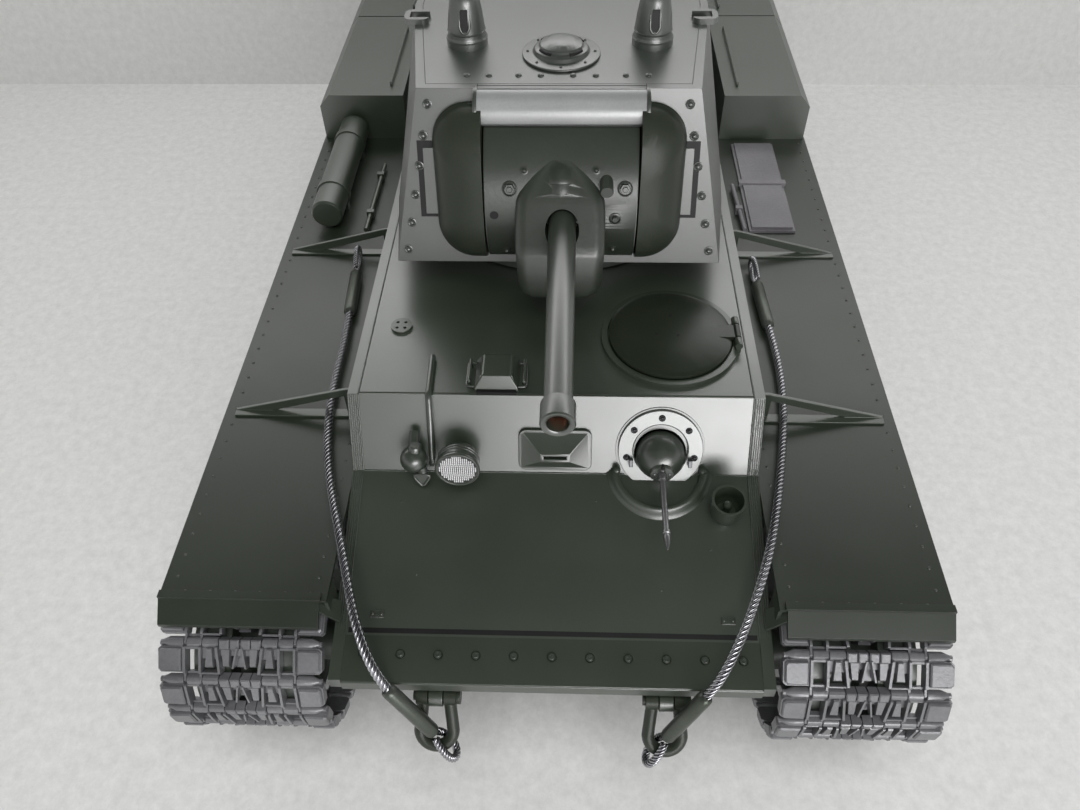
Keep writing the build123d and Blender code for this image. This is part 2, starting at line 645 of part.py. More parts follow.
def tool_drum():
    """Round stowage drum on the right fender, in two strapped saddles."""
    y0, y1, x, z, r = -31.2, 32.0, -88.8, 85.0, 5.9
    drum = turned([(0, 0), (r - 0.6, 0), (r, 0.6), (r, y1 - y0 - 0.6), (r - 0.6, y1 - y0),
                   (0, y1 - y0)], (x, y0, z), (0, 1, 0))
    saddles = []
    for y in (y0 + 13, y1 - 14):
        band = rod((x, y, z), (x, y + 3.2, z), r + 0.5)
        foot = block(x - 5, x + 5, y, y + 3.2, fender_z, z)
        saddles.append((band + foot) - drum)
    tool = rod((-73.6, 10.9, fender_z + 2), (-74.2, -33.7, fender_z + 2), 0.9)
    clips = [block(-75.4, -72.6, y, y + 2, fender_z, fender_z + 3.4) - tool for y in (-24, 2)]
    return [drum, saddles, tool, clips]


def stowed_panels():
    """Two flat spare panels in a strapped frame on the left fender."""
    parts = []
    frame = block(71.6, 88.9, -31.5, 29.5, fender_z, fender_z + 1.0)
    for y0, y1 in ((-30.5, -2.4), (0.6, 28.5)):
        parts.append(block(72.6, 87.9, y0, y1, fender_z + 1.0, fender_z + 2.0))
    strap = block(71.0, 89.6, -2.2, 0.4, fender_z + 1.0, fender_z + 2.6)
    tool = rod((68.2, -2.7, fender_z + 2), (69.6, -32.4, fender_z + 2), 0.8)
    clip = block(67.6, 70.2, -20, -18, fender_z, fender_z + 3.2) - tool
    return [frame, parts, strap, tool, clip]


# ---------------------------------------------------------------- turret
def half_outline(points):
    return points + [(-x, y) for x, y in reversed(points)]


turret_low = half_outline([(49.2, front_low[0]), (53.5, -60.0), (55.5, -36.0), (54.0, -6.0),
                           (47.0, 26.0), (36.0, 52.0), (26.0, 62.0)])
turret_high = half_outline([(38.9, front_high[0]), (43.6, -47.0), (45.6, -30.0), (44.6, -4.0),
                            (39.0, 22.0), (31.0, 43.0), (22.0, 52.0)])


def inset(points, amount):
    """Pull an outline in towards the turret's middle line by a wall thickness."""
    moved = []
    for x, y in points:
        y_in = y + amount if y < -70 else (y - amount if y > 45 else y)
        moved.append((x - math.copysign(amount, x), y_in))
    return moved


def turret_solid(low, high, z0, z1):
    return loft([Plane.XY.offset(z0) * Polygon(*low), Plane.XY.offset(z1) * Polygon(*high)],
                ruled=True)


def outline_at(z, extra=0.0):
    share = (z - turret_floor_z) / (turret_top_z - turret_floor_z)
    points = [(a[0] + (b[0] - a[0]) * share, a[1] + (b[1] - a[1]) * share)
              for a, b in zip(turret_low, turret_high)]
    return inset(points, extra)


def front_face_y(z):
    share = (z - front_low[1]) / (front_high[1] - front_low[1])
    return front_low[0] + (front_high[0] - front_low[0]) * share


def gun_cheeks():
    """Fixed rounded cheeks each side of the mantlet, the hood above it and the bearings."""
    lean = Vector(0, front_face_y(1) - front_face_y(0), 1).normalized()
    face = Plane(origin=(0.3, front_face_y(137.6), 137.6), x_dir=(1, 0, 0),
                 z_dir=Vector(1, 0, 0).cross(lean))
    steps = [(-1.5, 0, 10.5), (1.6, 0, 10.5), (4.2, 0.7, 10.4), (6.6, 2.1, 10.2), (8.6, 4.3, 10.0),
             (10.1, 7.4, 9.6), (11.0, 11.4, 9.0)]
    pillow = loft([face.offset(d) * RectangleRounded(71.2 - 2 * i, 45.4 - 2 * i, r) for d, i, r in steps],
                  ruled=True)
    inner = mantlet_half + 0.4
    pillow -= block(mantlet_x - inner, mantlet_x + inner, -130, -60, 100, 175)
    parts = []
    for side in (-1, 1):
        start = mantlet_x + side * inner
        lug = block(start + side * 0.2, start + side * 3.6, -88.0, trunnion_y, trunnion_z - 5, trunnion_z + 5)
        lug += rod((start + side * 0.2, trunnion_y, trunnion_z), (start + side * 3.6, trunnion_y, trunnion_z), 5.0)
        lug -= pillow
        lug -= rod((start - side, trunnion_y, trunnion_z), (start + side * 5, trunnion_y, trunnion_z),
                   trunnion_r + axle_clearance)
        parts.append(lug)
    parts += solids_of(pillow)
    hood = rod((-22.6, -82.6, 157.2), (24.4, -82.6, 157.2), 6.0)
    hood -= rod((-30, trunnion_y, trunnion_z), (30, trunnion_y, trunnion_z), mantlet_r + 0.6)
    hood &= prism_x([(front_face_y(150) - 0.02, 150), (front_face_y(163.4) - 0.02, 163.4),
                     (-95, 163.4), (-95, 150)], -60, 60)
    parts = [p - hood for p in parts]
    return parts + [hood]


def mantlet():
    """Curved shield, cast recoil housing, trunnions, coaxial stub and bolts: one casting."""
    x0, x1 = mantlet_x - mantlet_half, mantlet_x + mantlet_half

    def rim(angle, radius=mantlet_r):
        a = math.radians(angle)
        return (trunnion_y - radius * math.cos(a), trunnion_z + radius * math.sin(a))

    arc = [rim(-38.5 + 106.5 * k / 24) for k in range(25)]
    shield = prism_x(arc + [rim(68, 9.0), (trunnion_y, trunnion_z + 3), (trunnion_y, trunnion_z - 3),
                            rim(-38.5, 9.0)], x0, x1)
    shield += rod((x0, trunnion_y, trunnion_z), (x1, trunnion_y, trunnion_z), 8.0)
    pins = rod((x0 - 4.0, trunnion_y, trunnion_z), (x1 + 4.0, trunnion_y, trunnion_z), trunnion_r)
    side = rounded(Plane.YZ.offset(gun_x - 20), 1.4,
                   [(-88.0, 150.0), (-93.9, 150.0), (-97.2, 145.8), (-102.0, 140.4), (-110.4, 128.4),
                    (-110.8, 120.0), (-109.8, 112.6), (-100.0, 112.4), (-94.0, 119.5), (-86.0, 130.0)])
    front = rounded(Plane.XZ.offset(80), 2.6,
                    [(-4.4, 152.0), (4.4, 152.0), (12.4, 141.0), (12.7, 133.0), (12.0, 112.4),
                     (-12.0, 112.4), (-12.7, 133.0), (-12.4, 141.0)])
    snout = extrude(side, amount=40, dir=(1, 0, 0)) & (Pos(mantlet_x - 0.1, 0, 0)
                                                       * extrude(front, amount=40, dir=(0, -1, 0)))
    coax = rod((13.6, -92, 144.0), (13.6, -103.2, 144.0), 1.8)
    body = shield + pins + snout + coax
    return body - rod((gun_x, -130, gun_z), (gun_x, -50, gun_z), gun_r + 0.06)


def gun_barrel():
    barrel = turned([(0, 0), (gun_r, 0), (gun_r, 40.0), (gun_r - 0.45, -muzzle_y - 84.0),
                     (muzzle_ring_r, -muzzle_y - 84.0), (muzzle_ring_r, -muzzle_y - 78.0),
                     (0, -muzzle_y - 78.0)], (gun_x, -78.0, gun_z), (0, -1, 0))
    return barrel - rod((gun_x, muzzle_y - 1, gun_z), (gun_x, muzzle_y + 26, gun_z), bore_r)


def muzzle_lamp():
    lamp = rod((gun_x, muzzle_y + 6, gun_z), (gun_x, muzzle_y + 24, gun_z), bore_r)
    return lamp + Pos(gun_x, muzzle_y + 6, gun_z) * Sphere(bore_r - 0.5)


def turret_shell():
    shell = turret_solid(turret_low, turret_high, turret_floor_z, turret_top_z)
    z0, z1 = turret_floor_z + turret_wall, turret_top_z
    shell -= turret_solid(outline_at(z0, turret_wall), outline_at(z1, 2.4), z0, z1)
    shell -= Pos(0, turret_y, turret_floor_z) * Cylinder(40.0, 4 * turret_wall)
    mouth = prism_x([(front_face_y(115.0) - 20, 115.0), (front_face_y(115.0) + 6, 115.0),
                     (front_face_y(161.0) + 6, 161.0), (front_face_y(161.0) - 20, 161.0)],
                    mantlet_x - mantlet_half - 0.4, mantlet_x + mantlet_half + 0.4)
    shell -= mouth
    for part in cheeks:
        shell -= part
    return shell


def turret_roof():
    """Roof plate with its front rivets, the ventilator and the hatch opening."""
    z0, z1 = turret_top_z - turret_roof_plate, turret_top_z
    share = (z0 - turret_floor_z - turret_wall) / (turret_top_z - turret_floor_z - turret_wall)
    low = outline_at(turret_floor_z + turret_wall, turret_wall)
    high = outline_at(turret_top_z, 2.4)
    under = [(a[0] + (b[0] - a[0]) * share, a[1] + (b[1] - a[1]) * share)
             for a, b in zip(low, high)]
    plate = turret_solid(under, high, z0, z1)
    plate -= Pos(hatch_2[0], hatch_2[1], z1) * Cylinder(12.0, 8.0)
    vent = turned([(0, 0), (11.2, 0), (11.2, 0.8), (8.2, 1.0), (7.6, 2.2), (6.4, 2.6), (6.0, 3.4),
                   (3.5, 4.3), (0, 4.5)], (0.6, -63.0, z1), (0, 0, 1))
    rivets = []
    for x in (-25.5, -19.3, -11.1, -4.9, 4.0, 10.3, 18.6, 24.8):
        rivets.append(turned([(0, 0), (1.0, 0), (0.7, 0.5), (0, 0.7)], (x, -75.6, z1), (0, 0, 1)))
    return [plate, vent, rivets]


hatch_2 = (13.0, -2.0)


def turret_fittings():
    """Bell-shaped periscope guards, lifting brackets and the rear machine-gun ball."""
    top = turret_top_z
    parts = []
    for x in (-26.9, 26.9):
        guard = turned([(0, 0), (5.9, 0), (5.9, 2.0), (5.4, 3.2), (5.4, 4.4), (4.9, 9.0),
                        (4.2, 13.0), (3.0, 15.6), (0, 16.6)], (x, -56.0, top), (0, 0, 1))
        guard -= block(x - 1.1, x + 1.1, -64.0, -56.5, top + 5.5, top + 11.5)
        parts.append(guard)
    for x in (-20.0, 22.0):
        parts.append(turned([(0, 0), (4.6, 0), (4.6, 2.0), (3.0, 4.4), (0, 5.0)],
                            (x, 30.0, top), (0, 0, 1)))
    for y, x in ((-41.0, 43.2), (20.0, 37.5)):
        loop = Plane.XY.offset(top) * Pos(x + 0.2, y) * RectangleRounded(7.6, 7.0, 2.2)
        bracket = extrude(loop, amount=1.8)
        bracket -= block(x - 6.0, x + 2.3, y - 1.9, y + 1.9, top - 1, top + 3)
        parts += both_sides(bracket)
    ball = Pos(-10.0, 57.5, 138.0) * Sphere(6.4)
    parts.append(ball - turret_walls)
    return parts


def turret_hatch():
    x, y = hatch_2
    low = turret_top_z + 0.35
    lid = turned([(0, 0), (13.6, 0), (13.6, 1.6), (12.6, 2.2), (0, 2.6)], (x, y, low), (0, 0, 1))
    lid += block(x - 4, x + 4, y + 12, y + 16.6, low, low + 1.6)
    return lid + rod((x - 4, y + 16.6, low + 1.2), (x + 4, y + 16.6, low + 1.2), 1.2)


def turret_ring():
    """Race under the turret, with the internal teeth that the traverse motor drives."""
    ring = Pos(0, turret_y, 0) * extrude(Plane.XY.offset(roof_z + 0.5) * Circle(50.0),
                                         turret_floor_z - roof_z - 0.5)
    ring += Pos(0, turret_y, 0) * extrude(Plane.XY.offset(93.0) * Circle(ring_r), 9.0)
    ring -= Pos(0, turret_y, 0) * extrude(Plane.XY.offset(90.0) * Circle(40.0), 30.0)
    return ring


# ---------------------------------------------------------------- electrics inside the hull
def battery_pack():
    floor = belly_z + 2.5
    tray = block(-30, 30, -20, 62, floor, floor + 2)
    cells = [rod((-25 + 17 * i, -18, floor + 10), (-25 + 17 * i, 60, floor + 10), 8.0)
             for i in range(4)]
    return [tray, cells]


def drive_gearboxes():
    """A gearbox and motor for each sprocket, on the hull floor at the rear."""
    parts = []
    for side in (-1, 1):
        box = block(side * 28, side * 56.4, 142, 160, 34.0, 56.0)
        motor = rod((side * 15, 112, 45), (side * 15, 140, 45), 9.0)
        link = block(side * 8, side * 28, 142, 158, 36.0, 54.0)
        parts += [box + link, motor]
    return parts


# ---------------------------------------------------------------- tow cables
# Each route runs from the rear sleeve along the fender, over the bow edge to the front sleeve.
route_right = [(-71.8, -81.1, 80.7), (-70.9, -96.2, 80.4), (-71.0, -111.8, 80.3),
               (-70.3, -126.2, 80.4), (-67.9, -141.9, 80.5), (-64.0, -156.2, 81.0),
               (-59.8, -168.4, 81.7), (-56.6, -178.3, 80.7), (-53.9, -187.3, 78.5),
               (-51.6, -194.3, 76.3), (-49.2, -200.0, 74.0), (-46.9, -204.3, 71.1),
               (-44.5, -207.2, 67.3), (-41.9, -208.9, 62.8)]
route_left = [(70.5, -85.8, 80.7), (71.2, -98.7, 80.4), (71.1, -110.6, 80.3),
              (69.9, -123.4, 80.4), (67.5, -137.4, 80.5), (64.4, -151.8, 80.9),
              (61.2, -164.8, 81.7), (58.1, -175.6, 81.0), (54.6, -185.2, 78.8),
              (51.2, -193.2, 76.5), (48.0, -199.4, 74.0), (45.2, -204.0, 71.0),
              (42.5, -207.1, 67.2), (39.8, -208.9, 62.8)]


def arc_radii(route):
    radii = []
    points = [Vector(*p) for p in route]
    for a, b, c in zip(points, points[1:], points[2:]):
        turn = math.radians((b - a).get_angle(c - b))
        radii.append(0.45 * min((b - a).length, (c - b).length) / math.tan(turn / 2))
    return radii


def rope(name, route):
    radii = arc_radii(route)
    path = FilletPolyline(*route, radius=radii)
    start = Plane(origin=route[0], z_dir=Vector(*route[1]) - Vector(*route[0]))
    tube = sweep(start * Circle(rope_r), path=path)
    section = math.pi * rope_r ** 2
    print(name, "length", round(path.length, 1), "radii", [round(r, 1) for r in radii])
    print(name, "volume", round(tube.volume, 1), "section x length", round(section * path.length, 1))
    return tube


def eye_loop(centre, along, across, length, half_width, wire):
    """A closed loop of rope round a thimble, its long axis lying along the cable."""
    normal = along.cross(across)
    plane = Plane(origin=centre, x_dir=along, z_dir=normal)
    outline = SlotOverall(length + 2 * half_width, 2 * half_width)
    path = (plane * outline).wires()[0]
    start = path.position_at(0.0)
    tangent = path.tangent_at(0.0)
    return sweep(Plane(origin=start, z_dir=tangent) * Circle(wire), path=path)


def cable_ends(route, side):
    """Sleeves pressed on the rope and the eye beyond each of them."""
    wire = 1.1
    parts = []
    # front: the eye passes through the shackle's bow
    hang = lean_vector()
    pin = Vector(side * shackle_x, pin_y, pin_z)
    inward = math.radians(30)
    hook = (pin + hang * (shackle_reach + bow_r * math.cos(inward))
            - Vector(side * bow_r * math.sin(inward), 0, 0))
    tip = Vector(*route[-1])
    along = (hook - tip).normalized()
    length = (hook - tip).length
    sideways = Vector(1, 0, 0).cross(along).normalized()
    loop = eye_loop(hook + along * 0.4, along, sideways, 5.6, 3.2, wire)
    sleeve = rod(tip, hook - along * 5.6, sleeve_r)
    parts += [sleeve, loop - sleeve]
    # rear: the eye stands on edge on the fender
    start, second = Vector(*route[0]), Vector(*route[1])
    back = (start - second).normalized()
    far = start + back * rear_sleeve
    up = (Vector(0, 0, 1) - back * back.Z).normalized()
    sleeve = rod(start, far, sleeve_r)
    loop = eye_loop(far + back * 6.4 + Vector(0, 0, 0.9), back, up, 7.6, 2.9, wire)
    parts += [sleeve, loop - sleeve]
    return parts


# ---------------------------------------------------------------- build the nodes
upper_body = upper_hull()
lower_body = lower_hull() - upper_body
front_bar, beam_bolts = front_beam()
front_bar = front_bar - upper_body - lower_body
cheeks = gun_cheeks()
turret_walls = turret_shell()

save("upper_hull", upper_body)
save("lower_hull", lower_body)
save("front_beam", front_bar, [bolt - front_bar for bolt in beam_bolts])
save("tow_lugs", tow_lugs())
save("front_shackles", front_shackles())
save("fender_left", fenders())
save("fender_right", [mirror(plate, Plane.YZ) for plate in fenders()])
save("fender_braces", [both_sides(Compound(solids_of(b))) for b in fender_braces()])
save("stowage_boxes", [both_sides(b) for b in stowage_boxes()])
save("tool_drum", tool_drum())
save("stowed_panels", stowed_panels())
save("driver_visor", driver_visor() - upper_body)
headlight_body, headlight_lens = headlight()
save("headlight", headlight_body)
save("headlight_lens", headlight_lens)
save("horn", horn())
save("lamp_cup", lamp_cup())
save("mg_flange", mg_flange())
save("hull_mg", hull_mg())
save("roof_fittings", roof_fittings())
save("hull_hatch", hull_hatch())
save("engine_deck", engine_deck())
suspension_arms()
running_gear()
tracks()

save("turret_shell", turret_walls, cheeks)
save("turret_roof", turret_roof())
save("turret_fittings", turret_fittings())
save("turret_hatch", turret_hatch())
save("turret_ring", turret_ring())
save("mantlet", mantlet())
save("gun_barrel", gun_barrel())
save("muzzle_lamp", muzzle_lamp())

save("battery_pack", battery_pack())
save("drive_gearboxes", drive_gearboxes())

save("tow_rope_left", rope("left rope", route_left))
save("tow_rope_right", rope("right rope", route_right))
save("cable_ends_left", cable_ends(route_left, 1))
save("cable_ends_right", cable_ends(route_right, -1))

whole = Compound([solid for name, shape in nodes.items()
                  if not name.startswith(("tow_rope", "cable_ends")) for solid in shape.solids()])
box = whole.bounding_box()
print("nodes", len(nodes), "links per track", len(link_places()))
print("box", [round(v, 2) for v in (*box.min, *box.max)])
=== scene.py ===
import json
import random
from math import atan2, ceil, cos, degrees, dist, hypot, pi, radians, sin, sqrt

import bpy
from mathutils import Matrix, Vector


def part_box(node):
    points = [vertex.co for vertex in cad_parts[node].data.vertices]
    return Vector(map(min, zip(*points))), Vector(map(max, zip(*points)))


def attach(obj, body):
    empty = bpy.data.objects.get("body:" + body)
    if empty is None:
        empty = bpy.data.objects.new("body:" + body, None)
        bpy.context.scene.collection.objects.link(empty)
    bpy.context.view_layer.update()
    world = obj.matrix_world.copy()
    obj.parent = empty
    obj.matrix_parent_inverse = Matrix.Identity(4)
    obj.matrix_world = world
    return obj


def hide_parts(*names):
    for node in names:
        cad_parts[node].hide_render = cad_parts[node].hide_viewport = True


# Looks of the 1:16 radio-controlled heavy tank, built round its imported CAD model.
# Sizes and places below are in millimetres, and MM turns them into metres.
MM = 0.001
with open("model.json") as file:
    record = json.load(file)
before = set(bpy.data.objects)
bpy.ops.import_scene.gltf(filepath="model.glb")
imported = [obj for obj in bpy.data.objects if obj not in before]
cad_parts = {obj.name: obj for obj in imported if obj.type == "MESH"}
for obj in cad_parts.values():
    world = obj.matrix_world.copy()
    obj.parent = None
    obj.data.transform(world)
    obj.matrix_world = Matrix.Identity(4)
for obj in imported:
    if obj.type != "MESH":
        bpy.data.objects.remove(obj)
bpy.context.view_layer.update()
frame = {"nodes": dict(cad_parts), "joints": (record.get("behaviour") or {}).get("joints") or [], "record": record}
nodes = frame["nodes"]
random.seed(16)

# ---------------- places on the model
def span(node):
    """Lowest and highest corner of a CAD node, in millimetres."""
    low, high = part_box(node)
    return low / MM, high / MM


joints = {j["name"]: j for j in frame["joints"]}


def joint_at(name):
    return Vector(joints[name]["pos_m"]) / MM


# Upper and lower edges of the armour plates in front, as (y, z).
PLATE_TOP, PLATE_FOOT, GLACIS_FOOT = (-138.1, 100.5), (-149.0, 79.5), (-193.5, 64.7)
TURRET_HIGH, TURRET_LOW = (-82.6, 163.5), (-92.6, 112.0)
ROOF_Z, FENDER_Z, TURRET_TOP = 100.5, 78.0, TURRET_HIGH[1]
HOOD_Y, HOOD_Z, HOOD_LEFT, HOOD_RIGHT = -82.6, 157.2, 24.0, -22.1
TRUNNION = joint_at("gun_elevation")
MANTLET_X, MANTLET_R = 0.9, 26.1
GUN_X, GUN_Z, GUN_R = 1.5, 134.0, 3.85
GUN_BALL_X = 30.3


# ---------------- mesh building
CORNERS = ((-1, -1), (1, -1), (1, 1), (-1, 1))


def frames_along(path, closed=False):
    """Each point of a line with two directions across it and the distance from the start."""
    total = len(path)
    side, frames, run = None, [], 0.0
    for i, p in enumerate(path):
        after = path[(i + 1) % total] if closed else path[min(i + 1, total - 1)]
        before = path[i - 1] if closed else path[max(i - 1, 0)]
        ahead = (after - before).normalized()
        side = ahead.orthogonal().normalized() if side is None else side
        side = (side - ahead * side.dot(ahead)).normalized()
        frames.append((p, side, ahead.cross(side), run))
        run += (after - p).length
    return frames


def polar(radius, angle):
    """The point (x, y) at a radius and an angle in degrees."""
    turn = radians(angle)
    return radius * cos(turn), radius * sin(turn)


class Shape:
    """A growing mesh, in millimetres, with one material number per face."""

    def __init__(self):
        self.points, self.faces, self.marks = [], [], []
        self.mark = 0

    def add(self, points, faces):
        base = len(self.points)
        self.points += [Vector(p) for p in points]
        self.faces += [tuple(base + i for i in f) for f in faces]
        self.marks += [self.mark] * len(faces)
        return self

    def merge(self, other, matrix=Matrix.Identity(4)):
        base = len(self.points)
        flip = matrix.determinant() < 0
        self.points += [matrix @ p for p in other.points]
        self.faces += [tuple(base + i for i in (reversed(f) if flip else f)) for f in other.faces]
        self.marks += other.marks
        return self

    def loft(self, rings, closed_ends=True):
        """Skin between rings that have the same number of points."""
        count = len(rings[0])
        points = [p for ring in rings for p in ring]
        faces = []
        for r in range(len(rings) - 1):
            for i in range(count):
                j = (i + 1) % count
                a = r * count
                faces.append((a + i, a + j, a + count + j, a + count + i))
        if closed_ends:
            faces.append(tuple(reversed(range(count))))
            last = (len(rings) - 1) * count
            faces.append(tuple(last + i for i in range(count)))
        return self.add(points, faces)

    def box(self, x0, x1, y0, y1, z0, z1, edge=0.0):
        """An upright block whose top and sides have bevelled edges."""
        def ring(inset, z):
            return [(x0 + inset, y0 + inset, z), (x1 - inset, y0 + inset, z),
                    (x1 - inset, y1 - inset, z), (x0 + inset, y1 - inset, z)]
        if edge:
            return self.loft([ring(0, z0), ring(0, z1 - edge), ring(edge, z1)])
        return self.loft([ring(0, z0), ring(0, z1)])

    def prism(self, outline, matrix, height, edge=0.0):
        """An outline in a plane raised along the plane's Z, with a bevelled top edge."""
        centre = sum((Vector((*p, 0)) for p in outline), Vector()) / len(outline)
        rings = []
        levels = [(0, 0), (height - edge, 0), (height, edge)] if edge else [(0, 0), (height, 0)]
        for z, inset in levels:
            ring = []
            for p in outline:
                q = Vector((*p, 0))
                away = q - centre
                shrink = max(0.0, 1 - inset / max(away.length, 1e-6))
                ring.append(matrix @ (centre + away * shrink + Vector((0, 0, z))))
            rings.append(ring)
        return self.loft(rings)

    def lathe(self, profile, matrix, count=32, ends=True):
        """A solid of revolution about the matrix's Z axis; the profile is (radius, height)."""
        rings = []
        for radius, height in profile:
            turns = [2 * pi * i / count for i in range(count)]
            rings.append([matrix @ Vector((radius * cos(a), radius * sin(a), height)) for a in turns])
        return self.loft(rings, ends)

    def rod(self, start, end, radius, count=16, end_radius=None):
        start, end = Vector(start), Vector(end)
        last = radius if end_radius is None else end_radius
        return self.lathe([(radius, 0), (last, (end - start).length)],
                          facing(start, end - start), count)

    def tube(self, path, radius, count=12, closed=False):
        """A round wire along a smooth line of points."""
        angles = [2 * pi * k / count for k in range(count)]
        rings = [[p + (side * cos(a) + up * sin(a)) * radius for a in angles]
                 for p, side, up, run in frames_along([Vector(p) for p in path], closed)]
        if closed:
            rings.append(rings[0])
        return self.loft(rings, closed_ends=not closed)

    def dome(self, matrix, radius, height=None, count=14, steps=4):
        height = radius if height is None else height
        profile = [(radius * cos(pi / 2 * k / steps) + 1e-3,
                    height * sin(pi / 2 * k / steps)) for k in range(steps + 1)]
        return self.lathe(profile, matrix, count)

    def ball(self, centre, radius, count=24, steps=12):
        profile = [(radius * sin(pi * k / steps) + 1e-3,
                    -radius * cos(pi * k / steps)) for k in range(steps + 1)]
        return self.lathe(profile, Matrix.Translation(Vector(centre)), count)

    def hex_head(self, matrix, radius, height):
        return self.prism([polar(radius, 60 * k) for k in range(6)], matrix, height, 0.15)


def facing(origin, direction, up=(0, 0, 1)):
    """A matrix at origin whose Z axis points along direction, and whose Y axis is near up."""
    z = Vector(direction).normalized()
    up = Vector(up)
    if abs(z.dot(up.normalized())) > 0.99:
        up = Vector((0, 1, 0))
    x = up.cross(z).normalized()
    return Matrix.Translation(Vector(origin)) @ Matrix((x, z.cross(x), z)).transposed().to_4x4()


def both_sides(shape):
    """A shape of the left side together with its mirror image."""
    return Shape().merge(shape).merge(shape, Matrix.Scale(-1, 4, Vector((1, 0, 0))))


def flat_at(x, y, z):
    return Matrix.Translation((x, y, z))


def add_object(name, data):
    item = bpy.data.objects.new(name, data)
    bpy.context.scene.collection.objects.link(item)
    return item


def solved_mesh(item):
    """The mesh of an object with its modifiers or its curve worked out."""
    bpy.context.view_layer.update()
    return bpy.data.meshes.new_from_object(item.evaluated_get(bpy.context.evaluated_depsgraph_get()))


def piece(name, shape, body, materials, slot, replaces=(), sharp=35.0, bevel=0.0):
    """Turns a shape into a Blender object that rides on a CAD body; sharp is an angle in degrees."""
    mesh = bpy.data.meshes.new(name)
    mesh.from_pydata([tuple(p * MM) for p in shape.points], [], shape.faces)
    for m in materials if isinstance(materials, (list, tuple)) else [materials]:
        mesh.materials.append(m)
    mesh.polygons.foreach_set("material_index", shape.marks)
    mesh.polygons.foreach_set("use_smooth", [True] * len(shape.faces))
    mesh.validate()
    mesh.update()
    mesh.set_sharp_from_angle(angle=radians(sharp))
    item = add_object(name, mesh)
    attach(item, body)
    if replaces:
        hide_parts(*replaces)
    if bevel:
        soften(item, bevel, weld=False)
    return item


def soften(item, width, weld=True):
    """Rounds the sharp edges of a piece or a CAD node, whose points and faces stay as they are."""
    if weld:
        item.modifiers.new("weld", "WELD").merge_threshold = 0.002 * MM
        flat = item.modifiers.new("flat", "DECIMATE")
        flat.decimate_type = "DISSOLVE"
        flat.angle_limit = radians(1.0)
    cut = item.modifiers.new("edges", "BEVEL")
    cut.width = width * MM
    cut.segments = 2
    cut.limit_method = "ANGLE"
    cut.angle_limit = radians(38.0)
    cut.use_clamp_overlap = True
    item.modifiers.new("normals", "WEIGHTED_NORMAL").keep_sharp = False
    item.data.polygons.foreach_set("use_smooth", [True] * len(item.data.polygons))
    for name in ("custom_normal", "sharp_edge", "sharp_face"):
        if name in item.data.attributes:
            item.data.attributes.remove(item.data.attributes[name])


# ---------------- materials
def new_material(name):
    """A material with its node tree, its shader and the coordinates of the object it is on."""
    material = bpy.data.materials.new(name)
    material.use_nodes = True
    tree = material.node_tree
    place = tree.nodes.new("ShaderNodeTexCoord")
    return material, tree, tree.nodes["Principled BSDF"], place.outputs["Object"]


def set_inputs(node, values):
    for name, value in values.items():
        node.inputs[name].default_value = value


def noise(tree, vector, scale, detail=3.0, rough=0.6):
    grain = tree.nodes.new("ShaderNodeTexNoise")
    set_inputs(grain, {"Scale": scale, "Detail": detail, "Roughness": rough})
    tree.links.new(vector, grain.inputs["Vector"])
    return grain.outputs["Fac"]


def ramp(tree, value, stops):
    """A colour ramp over a value; a stop is a place and a colour, or a place and a grey level."""
    bar = tree.nodes.new("ShaderNodeValToRGB")
    while len(bar.color_ramp.elements) < len(stops):
        bar.color_ramp.elements.new(0.5)
    for element, (at, colour) in zip(bar.color_ramp.elements, stops):
        element.position = at
        element.color = (*colour, 1.0) if isinstance(colour, tuple) else (colour, colour, colour, 1.0)
    tree.links.new(value, bar.inputs["Fac"])
    return bar.outputs["Color"]


# Noise scales count the waves in a metre: the clouds of tone are about 30 mm wide.
CLOUD_SCALE = 30.0


def finish_material(name, colour, dark, light, roughness, metallic=0.0, grain=1400.0, bump=0.25,
                    depth=0.00006, ior=1.5, rough_span=0.10):
    """A surface with a cloudy tone, a fine grain in its relief and a roughness that varies.

    The three colours are the middle, the dark and the light tone; a single number is a grey.
    """
    material, tree, shader, vector = new_material(name)
    tone = noise(tree, vector, CLOUD_SCALE, 4.0)
    fine = noise(tree, vector, grain, 3.0, 0.7)
    colours = ramp(tree, tone, [(0.3, dark), (0.5, colour), (0.72, light)])
    speck = tree.nodes.new("ShaderNodeMix")
    speck.data_type = "RGBA"
    speck.blend_type = "OVERLAY"
    speck.inputs["Factor"].default_value = 0.22
    tree.links.new(colours, speck.inputs["A"])
    tree.links.new(ramp(tree, fine, [(0.25, 0.2), (0.75, 0.8)]), speck.inputs["B"])
    tree.links.new(speck.outputs["Result"], shader.inputs["Base Color"])
    spread = [(0.3, roughness - rough_span / 2), (0.7, roughness + rough_span / 2)]
    tree.links.new(ramp(tree, tone, spread), shader.inputs["Roughness"])
    relief = tree.nodes.new("ShaderNodeBump")
    set_inputs(relief, {"Strength": bump, "Distance": depth})
    tree.links.new(fine, relief.inputs["Height"])
    tree.links.new(relief.outputs["Normal"], shader.inputs["Normal"])
    set_inputs(shader, {"Metallic": metallic, "IOR": ior})
    return material


def paint(name, tint=(0.025, 0.034, 0.022), roughness=0.37, bump=0.2, grain=1400.0, depth=0.00005,
          ior=2.3):
    """Satin paint, a little darker and lighter in patches."""
    dark = tuple(c * 0.86 for c in tint)
    light = tuple(c * 1.14 for c in tint)
    return finish_material(name, tint, dark, light, roughness, grain=grain, bump=bump, depth=depth,
                           ior=ior, rough_span=0.06)


